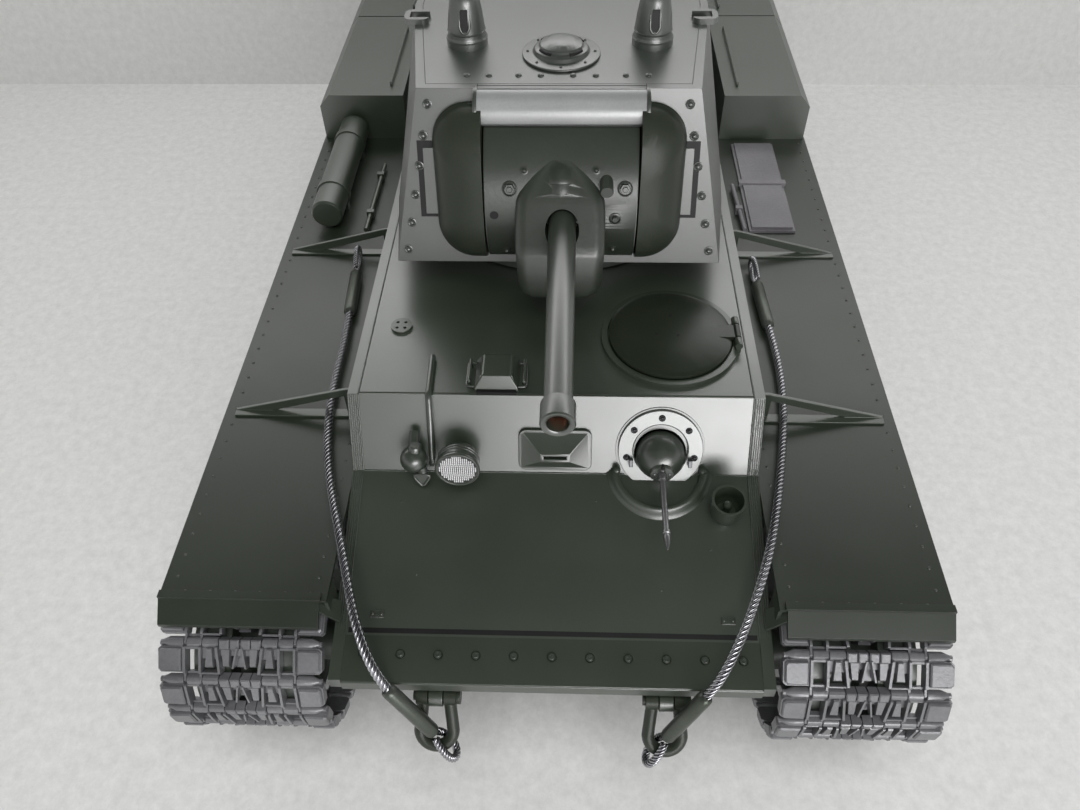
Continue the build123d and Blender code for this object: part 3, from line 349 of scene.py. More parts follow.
hull_green = paint("hull_green", (0.022, 0.030, 0.019))
gear_green = paint("gear_green", (0.030, 0.037, 0.028), 0.40)
turret_green = paint("turret_green", (0.030, 0.036, 0.029), 0.36, ior=2.6)
mantlet_green = paint("mantlet_green", (0.022, 0.027, 0.020), 0.37, bump=0.5, grain=800.0, depth=0.0001,
                      ior=2.0)
# Darker copy of the green: painted shade on the turret's cheeks; also the paint of the front shackles.
dark_green_and_cheek_shade = paint("dark_green_and_cheek_shade", (0.020, 0.025, 0.017), 0.42, ior=1.5)
# Light grey on the hood: painted reflection of the bright wall behind, on the hood's top.
hood_painted_reflection = paint("hood_painted_reflection", (0.24, 0.245, 0.245), 0.36, ior=2.9)
armour_green = paint("armour_green", ior=2.8)
# Darker copy of the green on the fenders: painted shade.
fender_painted_shade = paint("fender_painted_shade", (0.014, 0.019, 0.012), 0.38, ior=1.75)
# Darker copy of the green on the hull hatch lid: painted shade.
hatch_lid_painted_shade = paint("hatch_lid_painted_shade", (0.012, 0.016, 0.010), 0.34, ior=1.6)
weld_green = paint("weld_green", (0.034, 0.041, 0.031), 0.40, bump=1.0, grain=900.0, depth=0.0003)
fitting_green = paint("fitting_green", (0.026, 0.032, 0.024), 0.30)
dark_metal = finish_material("dark_metal", (0.10, 0.10, 0.105), (0.07, 0.07, 0.075),
                             (0.15, 0.15, 0.15), 0.26, metallic=0.9)
gun_steel = finish_material("gun_steel", (0.24, 0.24, 0.245), (0.16, 0.16, 0.165), (0.34, 0.34, 0.345), 0.3,
                            metallic=0.8)
track_grey = finish_material("track_grey", (0.185, 0.185, 0.195), (0.14, 0.14, 0.148), (0.24, 0.24, 0.25),
                             0.36, metallic=0.45, grain=1100.0, bump=0.5, depth=0.00012, ior=1.9)
bright_steel = finish_material("bright_steel", (0.50, 0.50, 0.53), (0.38, 0.38, 0.40),
                               (0.66, 0.66, 0.69), 0.24, metallic=1.0, grain=2500.0, bump=0.3)
sleeve_metal = finish_material("sleeve_metal", (0.10, 0.11, 0.095), (0.06, 0.07, 0.055), (0.17, 0.18, 0.165),
                               0.34, metallic=0.7, grain=1800.0, bump=0.4)
flange_grey = finish_material("flange_grey", (0.12, 0.13, 0.12), (0.09, 0.10, 0.09), (0.17, 0.18, 0.17),
                              0.36, metallic=0.1, ior=2.9)
panel_grey = finish_material("panel_grey", (0.13, 0.125, 0.135), (0.10, 0.095, 0.105), (0.17, 0.165, 0.175),
                             0.5, grain=900.0, bump=0.8, depth=0.0002, ior=1.8)
# Near-black: the black plastic gearbox case and the dark seams, and painted shade in the holes, slots, recesses
# and gap that it fills.
black_and_painted_shade = finish_material("black_and_painted_shade", 0.010, 0.007, 0.014, 0.55)
copper_lamp = finish_material("copper_lamp", (0.62, 0.17, 0.07), (0.38, 0.08, 0.03), (0.85, 0.34, 0.14),
                              0.28, metallic=0.3, grain=900.0, bump=0.6, depth=0.0002)
# Near-white on the headlight's glass lens ribs: painted reflection.
lens_painted_reflection = finish_material("lens_painted_reflection", (0.84, 0.84, 0.85), (0.74, 0.74, 0.75), (0.90, 0.90, 0.91), 0.34,
                         metallic=0.15)
reflector = finish_material("reflector", (0.10, 0.10, 0.105), (0.06, 0.06, 0.065), (0.20, 0.20, 0.205), 0.3,
                            metallic=0.6)
wrap_blue = finish_material("wrap_blue", (0.02, 0.05, 0.30), (0.015, 0.04, 0.22), (0.03, 0.08, 0.38), 0.25)

slots = {"hull_paint": hull_green, "turret_paint": turret_green, "running_gear_paint": gear_green,
         "mantlet_paint": mantlet_green, "track_metal": track_grey, "shackle_steel": fitting_green,
         "flange_metal": flange_grey, "mg_metal": dark_metal, "lens_glass": lens_painted_reflection,
         "rope_steel": bright_steel, "rope_fitting": sleeve_metal, "battery_wrap": wrap_blue,
         "gearbox_case": black_and_painted_shade, "stowed_panel": panel_grey, "barrel_metal": fitting_green,
         "lamp_orange": copper_lamp}
# Materials by node: the upper hull's paint, painted shade on the fenders and the hatch lid, and the shackles' dark
# green.
node_paints_and_shades = {"upper_hull": armour_green, "fender_left": fender_painted_shade, "fender_right": fender_painted_shade,
             "hull_hatch": hatch_lid_painted_shade, "front_shackles": dark_green_and_cheek_shade}
for row in frame["record"]["subparts"]:
    mesh = nodes[row["node"]].data
    mesh.materials.clear()
    mesh.materials.append(node_paints_and_shades.get(row["node"], slots[row["material_slot"]]))


def colour_turret_shell():
    """Gives the cheeks and the hood, which stand proud of the turret's front, other colours: a darker green of
    painted shade on the cheeks and a light grey of painted reflection on the hood.
    """
    item = nodes["turret_shell"]
    item.data.materials.append(dark_green_and_cheek_shade)
    item.data.materials.append(hood_painted_reflection)
    lean = (TURRET_HIGH[0] - TURRET_LOW[0]) / (TURRET_HIGH[1] - TURRET_LOW[1])
    hood_half, hood_r, cheek_half = 24.0, 6.15, 36.5
    for face in item.data.polygons:
        x, y, z = item.matrix_world @ face.center / MM
        proud = TURRET_HIGH[0] - 0.3 - lean * (TURRET_HIGH[1] - z) - y
        on_hood = abs(x - MANTLET_X) < hood_half and hypot(y - HOOD_Y, z - HOOD_Z) < hood_r
        if on_hood and proud > 0.02:
            # Hood faces: light grey of painted reflection.
            face.material_index = 2
        elif abs(x) < cheek_half and proud > 0.25:
            # Cheek faces: darker green of painted shade.
            face.material_index = 1


colour_turret_shell()

# Width of the rounding on the edges of the CAD nodes that stay in view.
EDGE_WIDTHS = {
    0.15: ["fender_braces", "lamp_cup"],
    0.2: ["fender_left", "fender_right", "front_shackles"],
    0.25: ["stowed_panels", "driver_visor", "roof_fittings", "engine_deck", "turret_fittings",
           "turret_hatch"],
    0.3: ["lower_hull", "front_beam", "tool_drum", "hull_hatch", "suspension_arms", "turret_roof",
          "turret_ring"],
    0.35: ["upper_hull", "tow_lugs"],
    0.4: ["stowage_boxes", "turret_shell"]}
for width, names in EDGE_WIDTHS.items():
    for name in names:
        soften(nodes[name], width)

# ---------------- tracks
LINK_PITCH = 10.0
LINK_PLATE = 1.1
PAD_TOP = 2.5
PIN_R = 0.8
WHEEL_GAP = 0.35
TRACK_X = 82.5
SPROCKET_TEETH = 16
ROAD_R, IDLER_R = 18.45, 20.5


def pin_circle(radius):
    """Radius of the hinge pins where the track bends round a wheel."""
    return hypot(radius + WHEEL_GAP + LINK_PLATE, LINK_PITCH / 2)


def track_pins():
    """Hinge pins (y, z) of the closed track, evenly spaced round its wheels."""
    step_deg = 3.0
    def wheel(joint, radius):
        at = joint_at(joint)
        return at.y, at.z, radius
    sprocket_r = LINK_PITCH / 2 / sin(pi / SPROCKET_TEETH)
    circles = [wheel("road_wheel_spin_left_1", pin_circle(ROAD_R)),
               wheel("idler_spin_left", pin_circle(IDLER_R)),
               wheel("drive_left", sprocket_r),
               wheel("road_wheel_spin_left_6", pin_circle(ROAD_R))]
    contact = []
    for (y0, z0, r0), (y1, z1, r1) in zip(circles, circles[1:] + circles[:1]):
        # where the straight run to the next circle leaves this one
        gap = hypot(y1 - y0, z1 - z0)
        uy, uz = (y1 - y0) / gap, (z1 - z0) / gap
        lean = (r0 - r1) / gap
        side = sqrt(1 - lean * lean)
        contact.append((uy * lean - uz * side, uz * lean + uy * side))
    points = []
    for i, (y, z, r) in enumerate(circles):
        enter = atan2(contact[i - 1][1], contact[i - 1][0])
        leave = atan2(contact[i][1], contact[i][0])
        sweep = (enter - leave) % (2 * pi)
        steps = max(1, ceil(degrees(sweep) / step_deg))
        turns = [enter - sweep * k / steps for k in range(steps + 1)]
        points += [(y + r * cos(turn), z + r * sin(turn)) for turn in turns]
    points.append(points[0])
    runs = [dist(a, b) for a, b in zip(points, points[1:])]
    count = round(sum(runs) / LINK_PITCH)
    pins = []
    for i in range(count):
        distance = sum(runs) * (i - 0.5) / count % sum(runs)
        for (a, b), run in zip(zip(points, points[1:]), runs):
            if distance <= run:
                share = distance / run
                pins.append((a[0] + (b[0] - a[0]) * share, a[1] + (b[1] - a[1]) * share))
                break
            distance -= run
    return pins


def link_half(sign):
    """Everything on one side of a link's middle: x across, y along the travel, z outward."""
    half = Shape()

    def bar(a, b, y0, y1, z0, z1, edge=0.0):
        x0, x1 = sorted((sign * a, sign * b))
        half.box(x0, x1, y0, y1, z0, z1, edge)

    def slab(corners, z0, z1, edge=0.0):
        outline = [(sign * x, y) for x, y in corners]
        if sign < 0:
            outline.reverse()
        half.prism(outline, flat_at(0, 0, z0), z1 - z0, edge)

    # the outer pad and its raised face
    slab([(15.2, -2.7), (21.2, -2.7), (22.0, -1.9), (22.0, 3.6), (21.2, 4.3), (15.2, 4.3)], -1.1, 1.3)
    slab([(15.6, -2.2), (21.0, -2.2), (21.6, -1.6), (21.6, 3.3), (21.0, 3.9), (15.6, 3.9)],
         1.3, PAD_TOP, 0.45)
    # two ribs along the travel with their tails, and the bars across between them
    for a in (14.4, 10.2):
        slab([(a, -2.9), (a + 0.7, -2.9), (a + 0.7, 4.4), (a, 4.4)], -1.1, 2.1, 0.2)
        slab([(a, -5.2), (a + 0.7, -5.2), (a + 0.7, -2.7), (a, -2.7)], -0.6, 1.35, 0.2)
    bar(10.4, 15.2, 3.5, 4.4, -1.1, 1.5, 0.2)
    bar(10.4, 15.2, -3.3, -2.7, -1.1, 0.4)
    # the tongue beside the inner rib
    bar(5.8, 10.2, 0.8, 4.4, -1.1, 0.5)
    slab([(6.9, -1.2), (9.3, -1.2), (8.7, 4.1), (7.3, 4.1)], 0.0, 2.0, 0.35)
    bar(5.6, 10.4, -3.2, -2.6, -1.1, 1.5, 0.15)
    # the slanted inner rib, the middle plate and its two tongues
    slab([(4.9, -2.9), (5.6, -2.9), (6.5, 4.4), (5.8, 4.4)], -1.1, 2.2, 0.2)
    bar(-0.1, 6.0, 1.6, 4.4, -1.1, 0.3)
    slab([(2.7, -1.0), (4.4, -1.0), (5.0, 4.0), (2.6, 4.0)], -0.6, 1.8, 0.35)
    slab([(1.5, -1.4), (2.0, -1.4), (0.9, 4.3), (0.4, 4.3)], -0.6, 2.1, 0.15)

    def knuckle(a, b, taper=0.0):
        """A hinge eye from a to b; a taper makes its outer end smaller."""
        end_r = 0.65 if taper else 1.35
        half.lathe([(1.35, 0), (1.5, 0.15), (1.5, b - a - 0.15 - taper), (end_r, b - a)],
                   facing((sign * a, -LINK_PITCH / 2 + 0.15, 0.2), (sign, 0, 0)), 12)
    knuckle(5.9, 10.1)
    knuckle(10.35, 14.3)
    knuckle(15.2, 21.0, 1.8)
    for a, b in ((0.25, 2.7), (2.95, 5.6)):
        bar(a, b, 3.6, 6.3, -1.2, 1.75, 0.3)
    half.rod((sign * 20.6, -LINK_PITCH / 2, 0), (sign * 21.7, -LINK_PITCH / 2, 0), PIN_R, 10)
    return half


def track_link():
    """One link: two halves, the hinge pin and the guide horn on the inside."""
    link = Shape()
    for sign in (-1, 1):
        link.merge(link_half(sign))
    link.rod((-20.4, -LINK_PITCH / 2, 0), (20.4, -LINK_PITCH / 2, 0), PIN_R, 8)
    guide = [(-1.9, 0), (1.9, 0), (1.0, 5.0), (-1.0, 5.0)]
    inward = Matrix(((0, 0, 1), (1, 0, 0), (0, -1, 0))).to_4x4()
    return link.merge(Shape().prism(guide, flat_at(-1.6, 0, -LINK_PLATE) @ inward, 3.2))


def tracks():
    """Both closed tracks, with a link between each pair of pins."""
    link = track_link()
    pins = track_pins()
    for name, side in (("track_left", 1), ("track_right", -1)):
        whole = Shape()
        for (y0, z0), (y1, z1) in zip(pins, pins[1:] + pins[:1]):
            middle = flat_at(side * TRACK_X, (y0 + y1) / 2, (z0 + z1) / 2)
            whole.merge(link, middle @ Matrix.Rotation(atan2(z1 - z0, y1 - y0), 4, "X"))
        piece(name + "_links", whole, "hull", track_grey, "track_metal", [name], sharp=30)


tracks()

# ---------------- tow cables
ROUTES = {
    "right": [(-71.8, -81.1, 80.7), (-70.9, -96.2, 80.4), (-71.0, -111.8, 80.3),
              (-70.3, -126.2, 80.4), (-67.9, -141.9, 80.5), (-64.0, -156.2, 81.0),
              (-59.8, -168.4, 81.7), (-56.6, -178.3, 80.7), (-53.9, -187.3, 78.5),
              (-51.6, -194.3, 76.3), (-49.2, -200.0, 74.0), (-46.9, -204.3, 71.1),
              (-44.5, -207.2, 67.3), (-41.9, -208.9, 62.8)],
    "left": [(70.5, -85.8, 80.7), (71.2, -98.7, 80.4), (71.1, -110.6, 80.3),
             (69.9, -123.4, 80.4), (67.5, -137.4, 80.5), (64.4, -151.8, 80.9),
             (61.2, -164.8, 81.7), (58.1, -175.6, 81.0), (54.6, -185.2, 78.8),
             (51.2, -193.2, 76.5), (48.0, -199.4, 74.0), (45.2, -204.0, 71.0),
             (42.5, -207.1, 67.2), (39.8, -208.9, 62.8)]}
# Radius of the CAD rope, and of the strands laid over it.
ROPE_R, LAID_R = 1.2, 1.36
ROPE_STEP = 0.45
REAR_SLEEVE = 20.5
EYE_GAP = 5.6
ROPE_COLOURS = [bright_steel, dark_metal]


def spline_points(name, points):
    """Points of the NURBS line through the route, in millimetres, evenly spaced."""
    curve = bpy.data.curves.new(name, "CURVE")
    curve.dimensions = "3D"
    line = curve.splines.new("NURBS")
    line.points.add(len(points) - 1)
    for spot, p in zip(line.points, points):
        spot.co = (*(c * MM for c in p), 1.0)
    line.order_u = 3
    line.use_endpoint_u = True
    line.resolution_u = 16
    item = add_object(name, curve)
    found = [v.co / MM for v in solved_mesh(item).vertices]
    bpy.data.objects.remove(item)
    return even(found, ROPE_STEP)


def even(points, step):
    """The same line with points at an even step."""
    runs = [0.0]
    for a, b in zip(points, points[1:]):
        runs.append(runs[-1] + (b - a).length)
    count = max(2, round(runs[-1] / step))
    result, k = [], 0
    for i in range(count + 1):
        at = runs[-1] * i / count
        while k < len(runs) - 2 and runs[k + 1] < at:
            k += 1
        share = (at - runs[k]) / max(runs[k + 1] - runs[k], 1e-9)
        result.append(points[k].lerp(points[k + 1], min(share, 1.0)))
    return result


def strands(shape, path, rope_r, lay=7.5):
    """Five right-hand laid strands round a line of points, over a dark core."""
    count, strand_r = 5, rope_r * 0.36
    for k in range(count):
        line = []
        for p, side, up, run in frames_along(path):
            turn = 2 * pi * (k / count + run / lay)
            line.append(p + (side * cos(turn) + up * sin(turn)) * (rope_r - strand_r))
        shape.tube(line, strand_r, 8)
    shape.mark = 1
    shape.tube(path, rope_r * 0.62, 8)
    shape.mark = 0
    return shape


def eye(centre, along, across, length, half_width):
    """Points of a pointed loop of rope in the plane of along and across."""
    points = []
    for i in range(49):
        t = radians(-150 + 300 * i / 48)
        reach = cos(t)
        points.append(centre + along * (length * reach)
                      + across * (half_width * sin(t) * (1.05 + 0.25 * reach)))
    return points


def sleeve(shape, start, direction, length):
    shape.lathe([(1.5, -1.2), (2.0, -0.6), (2.1, 0.4), (2.1, length - 1.0), (1.7, length)],
                facing(start, direction), 20)


def cable(side):
    """One tow cable: its strands, and the sleeve and twisted eye at each end."""
    route = ROUTES[side]
    path = spline_points("route_" + side, route)
    rope = piece("tow_rope_%s_strands" % side, strands(Shape(), path, LAID_R), "hull", ROPE_COLOURS,
                 "rope_steel", ["tow_rope_" + side], sharp=60)
    front = path[-1]
    shackle = Vector((28.7 if side == "left" else -28.7, -214.0, 41.9))
    along = (shackle - front).normalized()
    back = Vector(route[0])
    back_dir = (back - Vector(route[1])).normalized()
    ends, loops = Shape(), Shape()
    sleeve(ends, front, along, (shackle - front).length - EYE_GAP)
    sleeve(ends, back, back_dir, REAR_SLEEVE)
    sleeves = piece("rope_sleeves_" + side, ends, "hull", sleeve_metal, "rope_fitting",
                    ["cable_ends_" + side], sharp=40)
    sideways = Vector((1, 0, 0)).cross(along).normalized()
    strands(loops, eye(shackle + along * 0.2, along, sideways, 5.2, 2.7), 1.15, lay=5.5)
    up = (Vector((0, 0, 1)) - back_dir * back_dir.z).normalized()
    rear_eye = back + back_dir * (REAR_SLEEVE + EYE_GAP) + Vector((0, 0, 0.9))
    strands(loops, eye(rear_eye, back_dir, up, 6.0, 2.8), 1.0, lay=4.5)
    eyes = piece("rope_eyes_" + side, loops, "hull", ROPE_COLOURS, "rope_steel", sharp=60)


for side in ("left", "right"):
    cable(side)

# ---------------- hull fittings
def on_slope(high, low, x, z):
    """A matrix on an armour plate that falls from high to low (y, z); Z points outward, Y up the plate."""
    share = (z - low[1]) / (high[1] - low[1])
    y = low[0] + (high[0] - low[0]) * share
    up_plate = Vector((0, high[0] - low[0], high[1] - low[1])).normalized()
    outward = Vector((1, 0, 0)).cross(up_plate)
    return facing((x, y, z), outward, up_plate)


def on_plate(x, z):
    return on_slope(PLATE_TOP, PLATE_FOOT, x, z)


def on_glacis(x, y):
    share = (y - GLACIS_FOOT[0]) / (PLATE_FOOT[0] - GLACIS_FOOT[0])
    return on_slope(PLATE_FOOT, GLACIS_FOOT, x, GLACIS_FOOT[1] + share * (PLATE_FOOT[1] - GLACIS_FOOT[1]))


def weld(shape, start, end, radius, step=0.55):
    """A weld bead: a row of overlapping ripples of uneven size."""
    start, end = Vector(start), Vector(end)
    count = max(2, int((end - start).length / step))
    rings = []
    side = (end - start).normalized().orthogonal().normalized()
    up = (end - start).normalized().cross(side)
    for i in range(count + 1):
        size = radius * (0.82 + 0.28 * random.random()) * (1.0 if i % 2 else 0.86)
        at = start.lerp(end, i / count)
        rings.append([at + (side * cos(pi * k / 4) + up * sin(pi * k / 4)) * size
                      for k in range(8)])
    return shape.loft(rings)


def hull_piece(name, shape, material, **options):
    return piece(name, shape, "hull", material, "hull_paint", **options)


def fender_details():
    """Rivets along the lips, and the folded stay at the front inner corner."""
    rivets = Shape()
    for i in range(56):
        rivets.dome(flat_at(100.4, -184.8 + 6.75 * i, FENDER_Z), 0.45, 0.35, 8, 2)
    for i in range(6):
        rivets.dome(flat_at(63.6 + 6.7 * i, -189.3, FENDER_Z), 0.5, 0.4, 8, 2)
    for i in range(56):
        rivets.dome(flat_at(62.3, -184.5 + 6.65 * i, FENDER_Z), 0.42, 0.35, 8, 2)
    plate = [Vector(p) for p in ((61.6, -189.6, 78.2), (57.3, -186.4, 69.4), (57.2, -191.4, 67.2),
                                 (61.6, -193.4, 76.6))]
    thickness = Vector((0.5, 0, -0.6))
    stay = Shape().loft([plate, [p + thickness for p in plate]])
    hull_piece("fender_rivets", both_sides(rivets), fitting_green, sharp=60)
    hull_piece("fender_stays", both_sides(stay), hull_green)


def armour_edges():
    """Rough flame-cut edges of the side plates and the weld beads along the joints."""
    beads = Shape()
    inner, outer = 55.9, 58.9
    for (y0, z0), (y1, z1) in ((PLATE_TOP, PLATE_FOOT), (PLATE_FOOT, GLACIS_FOOT)):
        beads.merge(weld(Shape(), (inner, y0, z0 + 0.1), (inner, y1, z1 + 0.1), 0.32))
        for k in range(5):
            x = inner + 0.5 + (outer - inner - 0.6) * k / 4
            beads.merge(weld(Shape(), (x, y0, z0 - 0.12), (x, y1, z1 - 0.12), 0.3, 0.8))
    front, foot = PLATE_TOP[0], PLATE_FOOT[0] - 0.1
    beads.merge(weld(Shape(), (inner, front, ROOF_Z), (inner, 60.0, ROOF_Z), 0.3, 0.9))
    beads = both_sides(beads)
    weld(beads, (-inner, foot, PLATE_FOOT[1]), (inner, foot, PLATE_FOOT[1]), 0.25)
    hull_piece("armour_welds", beads, weld_green, sharp=60)
    seam = Shape().box(-55.8, 55.8, front + 0.6, front + 0.9, ROOF_Z - 0.2, ROOF_Z + 0.25, 0.05)
    hull_piece("roof_seam", seam, fitting_green)


def headlight_details():
    """Ribbed lamp housing with its rim, the reflector and a lens of pressed ribs."""
    low, high = span("headlight_lens")
    tilt = radians(6)
    axis = Vector((0, -cos(tilt), sin(tilt)))
    x, z = (low.x + high.x) / 2, (low.z + high.z) / 2
    at = facing(Vector((x, low.y + 0.8, z)) - axis * 0.3, axis)
    body = Shape().lathe([(1.2, -8.2), (3.1, -7.6), (4.9, -6.0), (5.75, -4.2), (6.05, -3.9), (6.05, -3.4),
                          (5.85, -3.3), (5.85, -3.0), (6.1, -2.9), (6.1, -2.4), (5.9, -2.3), (5.9, -2.0),
                          (6.15, -1.9), (6.2, -0.9), (5.4, -0.8), (0.1, -0.9)], at, 64)
    body.lathe([(5.3, -0.9), (6.2, -0.9), (6.38, -0.4), (6.35, 0.3), (6.1, 0.6), (5.65, 0.6), (5.4, 0.3),
                (5.3, -0.2)], at, 64, False)
    body.rod(at @ Vector((0, 0, -8)), (x, -149.2, 84.0), 1.2)
    hull_piece("headlight_housing", body, fitting_green, replaces=["headlight"], bevel=0.06)
    glass = Shape().lathe([(0.05, -0.3), (5.35, -0.3), (5.35, -0.1), (3.2, 0.12), (0.05, 0.2)], at, 48)
    # Lens ribs in near-white: painted reflection of the glass.
    lens = Shape()
    across, along, lens_r = 0.56, 0.86, 5.2
    for i in range(-9, 10):
        for j in range(-6, 6):
            ends = [(i * across, j * along + 0.1), (i * across, j * along + 0.76)]
            if max(hypot(*end) for end in ends) < lens_r:
                lens.rod(*(at @ Vector((*end, 0.16)) for end in ends), 0.19, 6)
    piece("headlight_reflector", glass, "hull", reflector, "lens_glass", ["headlight_lens"], sharp=50)
    piece("headlight_lens_ribs", lens, "hull", lens_painted_reflection, "lens_glass", sharp=50)


def glacis_details():
    """Black strip of painted shade in the gap above the front beam, the beam's round edge and bolts, brackets and
    plugs of the glacis.
    """
    small = Shape()
    for x in (-47.7, 47.7):
        at = on_glacis(x, -188.6)
        small.merge(Shape().box(-1.9, 1.9, -1.0, 1.0, 0, 0.5, 0.1), at)
        for across in (1.2, -1.2):
            small.dome(at @ flat_at(across, 0, 0.5), 0.35, 0.3, 8, 2)
    for x, y in ((-38.0, -178.0), (-44.0, -158.0), (44.0, -170.0), (12.0, -157.0), (30.0, -181.0)):
        small.dome(on_glacis(x, y), 0.3, 0.2, 8, 2)
    # A black box in the gap above the beam: painted shade.
    gap = Shape().merge(Shape().box(-55.2, 55.2, -0.75, 0.6, -0.3, 0.07), on_glacis(0, -192.6))
    hull_piece("beam_gap", gap, black_and_painted_shade)
    front = span("front_beam")[0].y + 0.75
    edge = Shape().rod((-55.4, front, 60.95), (55.4, front, 60.95), 0.62)
    for i in range(11):
        at = facing((-50.6 + 10.16 * i, -198.6, 63.2), (0, -0.227, 0.974))
        edge.lathe([(1.05, -0.1), (1.0, 0.35), (0.65, 0.75), (0.35, 0.7), (0.02, 0.6)], at, 18)
    hull_piece("beam_edge", edge, fitting_green, sharp=50)
    hull_piece("glacis_brackets", small, fitting_green, sharp=50)


def flange_details():
    """Machine-gun flange with its step, five bolts of a ring of seven, and two tabs."""
    seat = on_plate(GUN_BALL_X, 86.6)
    ring = Shape().lathe([(7.75, -0.5), (12.1, -0.5), (12.1, 1.15), (11.95, 1.3), (8.1, 1.3), (7.75, 1.0),
                          (7.75, -0.5)], seat, 72, False)
    step = Shape().lathe([(12.2, -0.4), (12.9, -0.4), (12.75, 0.35), (12.2, 0.35), (12.2, -0.4)],
                         seat, 72, False)
    bolts = Shape()
    for k in range(-2, 3):
        at = seat @ flat_at(*polar(9.9, 90 + 360 / 7 * k), 1.28)
        bolts.lathe([(1.0, -0.1), (1.0, 0.12), (0.85, 0.2), (0.7, 0.05)], at, 18)
        bolts.dome(at @ flat_at(0, 0, 0.05), 0.68, 0.5, 12, 3)
    for x in (-8.4, 8.4):
        bolts.merge(Shape().box(-0.55, 0.55, -1.1, 1.1, 0, 2.2, 0.15), seat @ flat_at(x, -3.4, 1.0))
    piece("flange_ring", ring, "hull", flange_grey, "flange_metal", ["mg_flange"], sharp=40)
    hull_piece("flange_step", step, fitting_green, sharp=40)
    piece("flange_bolts", bolts, "hull", dark_metal, "flange_metal", sharp=40)


def splash_guard():
    """A raised lip round the front of the machine gun, with a post at each end."""
    base = on_glacis(GUN_BALL_X, -147.6)
    section = [(11.7, -0.8), (11.7, 2.0), (11.9, 2.6), (12.4, 2.9), (13.0, 2.8), (13.6, 2.3), (14.1, 1.5),
               (14.6, 0.8), (15.3, 0.3), (15.3, -0.8)]
    steps, rings = 48, []
    for k in range(steps + 1):
        swell = 1.0 if 0 < k < steps else 0.82
        rings.append([base @ Vector((*polar(r, 184 + 172 * k / steps), h * swell)) for r, h in section])
    guard = Shape().loft(rings)
    for turn in (186, 354):
        guard.lathe([(1.1, 0), (1.1, 3.0), (0.7, 3.5), (0.02, 3.6)],
                    base @ flat_at(*polar(12.4, turn), 0), 16)
    hull_piece("splash_guard", guard, hull_green, sharp=50)


def corner_curve(start, corner, end, steps):
    """Points of a smooth curve from start to end that turns at the corner."""
    shares = [k / steps for k in range(steps + 1)]
    return [start * (1 - t) ** 2 + corner * (2 * t * (1 - t)) + end * t ** 2 for t in shares]


def arc_path(points, radius):
    """A wire path through the points with rounded corners."""
    points = [Vector(p) for p in points]
    path = [points[0]]
    for before, corner, after in zip(points, points[1:], points[2:]):
        a, b = (before - corner).normalized(), (after - corner).normalized()
        path += corner_curve(corner + a * radius, corner, corner + b * radius, 6)
    return path + [points[-1]]


def horn_details():
    """Horn ball on its neck, the flat trumpet with a rounded three-sided mouth, and the conduit."""
    centre = Vector((-39.9, -151.0, 87.5))
    horn = Shape().ball(centre, 3.9, 32, 16)
    horn.rod(centre + Vector((0, 2.4, 2.0)), centre + Vector((0, 6.5, 4.4)), 1.5)
    horn.lathe([(1.9, 0), (1.9, 1.6), (1.4, 2.2), (0.02, 2.2)],
               facing(centre + Vector((0.6, 0.6, 3.0)), (0.1, 0.2, 1)), 20)
    horn.rod(centre + Vector((2.0, -1.2, -1.6)), (-37.4, -152.6, 84.0), 1.9, 20, 1.5)
    top = 83.4
    corners = ((-40.6, top), (-35.0, top), (-37.8, 79.0))
    mouth = [Vector((x, -153.4 + (z - top) * 0.25, z)) for x, z in corners]
    ring = []
    for k in range(3):
        before, corner, after = mouth[k - 1], mouth[k], mouth[(k + 1) % 3]
        ring += corner_curve(corner.lerp(before, 0.32), corner, corner.lerp(after, 0.32), 6)
    horn.tube(ring, 0.42, 10, closed=True)
    throat = [p * 0.55 + Vector((-37.6, -151.2, 82.6)) * 0.45 for p in ring]
    horn.loft([[p + Vector((0, 0.9, 0)) for p in throat], ring])
    hull_piece("horn_body", horn, fitting_green, replaces=["horn"], sharp=50)
    run = arc_path([(-36.1, -124.0, ROOF_Z + 1.0), (-35.6, -139.2, ROOF_Z + 1.0), (-35.0, -149.4, 85.0),
                    (-35.4, -149.0, 83.0)], 1.2)
    conduit = Shape().tube(run, 0.95, 14).ball(run[0], 0.95, 14, 8)
    hull_piece("conduit", conduit, fitting_green, sharp=50)
    # A black sheet inside the trumpet's throat: painted shade.
    hollow = Shape().loft([[p + Vector((0, y, 0)) for p in throat] for y in (-0.12, -0.02)])
    hull_piece("horn_mouth", hollow, black_and_painted_shade)


def machine_gun_details():
    """Ball with a tilted cap, round face plate with its bolts, barrel with a cone muzzle, sight hole."""
    at = joint_at("hull_mg_swing")
    aim, tilted = facing(at, (0, -1, 0)), facing(at, (0, -1, -0.38))
    cap = [polar(7.19, a) for a in range(9, 90, 4)]
    gun = Shape().ball(at, 6.9, 48, 24)
    gun.lathe([(6.6, 0.9), (7.12, 1.0)] + cap + [(0.02, 7.19)], tilted, 48)
    gun.lathe([(3.5, 5.4), (3.5, 7.0), (3.2, 7.35), (0.02, 7.4)], aim, 36)
    metal = Shape()
    for x, y in ((-2.1, 0.3), (2.1, 0.3), (0, 1.9)):
        metal.dome(aim @ flat_at(x, y, 7.3), 0.6, 0.5, 12, 3)
    metal.lathe([(0.02, 7.0), (1.25, 7.2), (1.25, 9.4), (1.0, 9.6), (0.85, 10.0), (0.85, 26.0), (1.15, 26.2),
                 (1.15, 27.0), (0.85, 27.2), (1.05, 28.4), (0.3, 31.9), (0.02, 31.9)], aim, 24)
    # A black plug in the ball's sight hole: painted shade.
    hole = Shape().lathe([(0.6, 6.0), (0.6, 7.45), (0.02, 7.45)], aim @ flat_at(0, 3.0, 0), 14)
    piece("mg_ball", gun, "hull_mg", fitting_green, "mg_metal", ["hull_mg"], sharp=45)
    piece("mg_barrel", metal, "hull_mg", gun_steel, "mg_metal", sharp=45)
    piece("mg_sight_hole", hole, "hull_mg", black_and_painted_shade, "mg_metal")


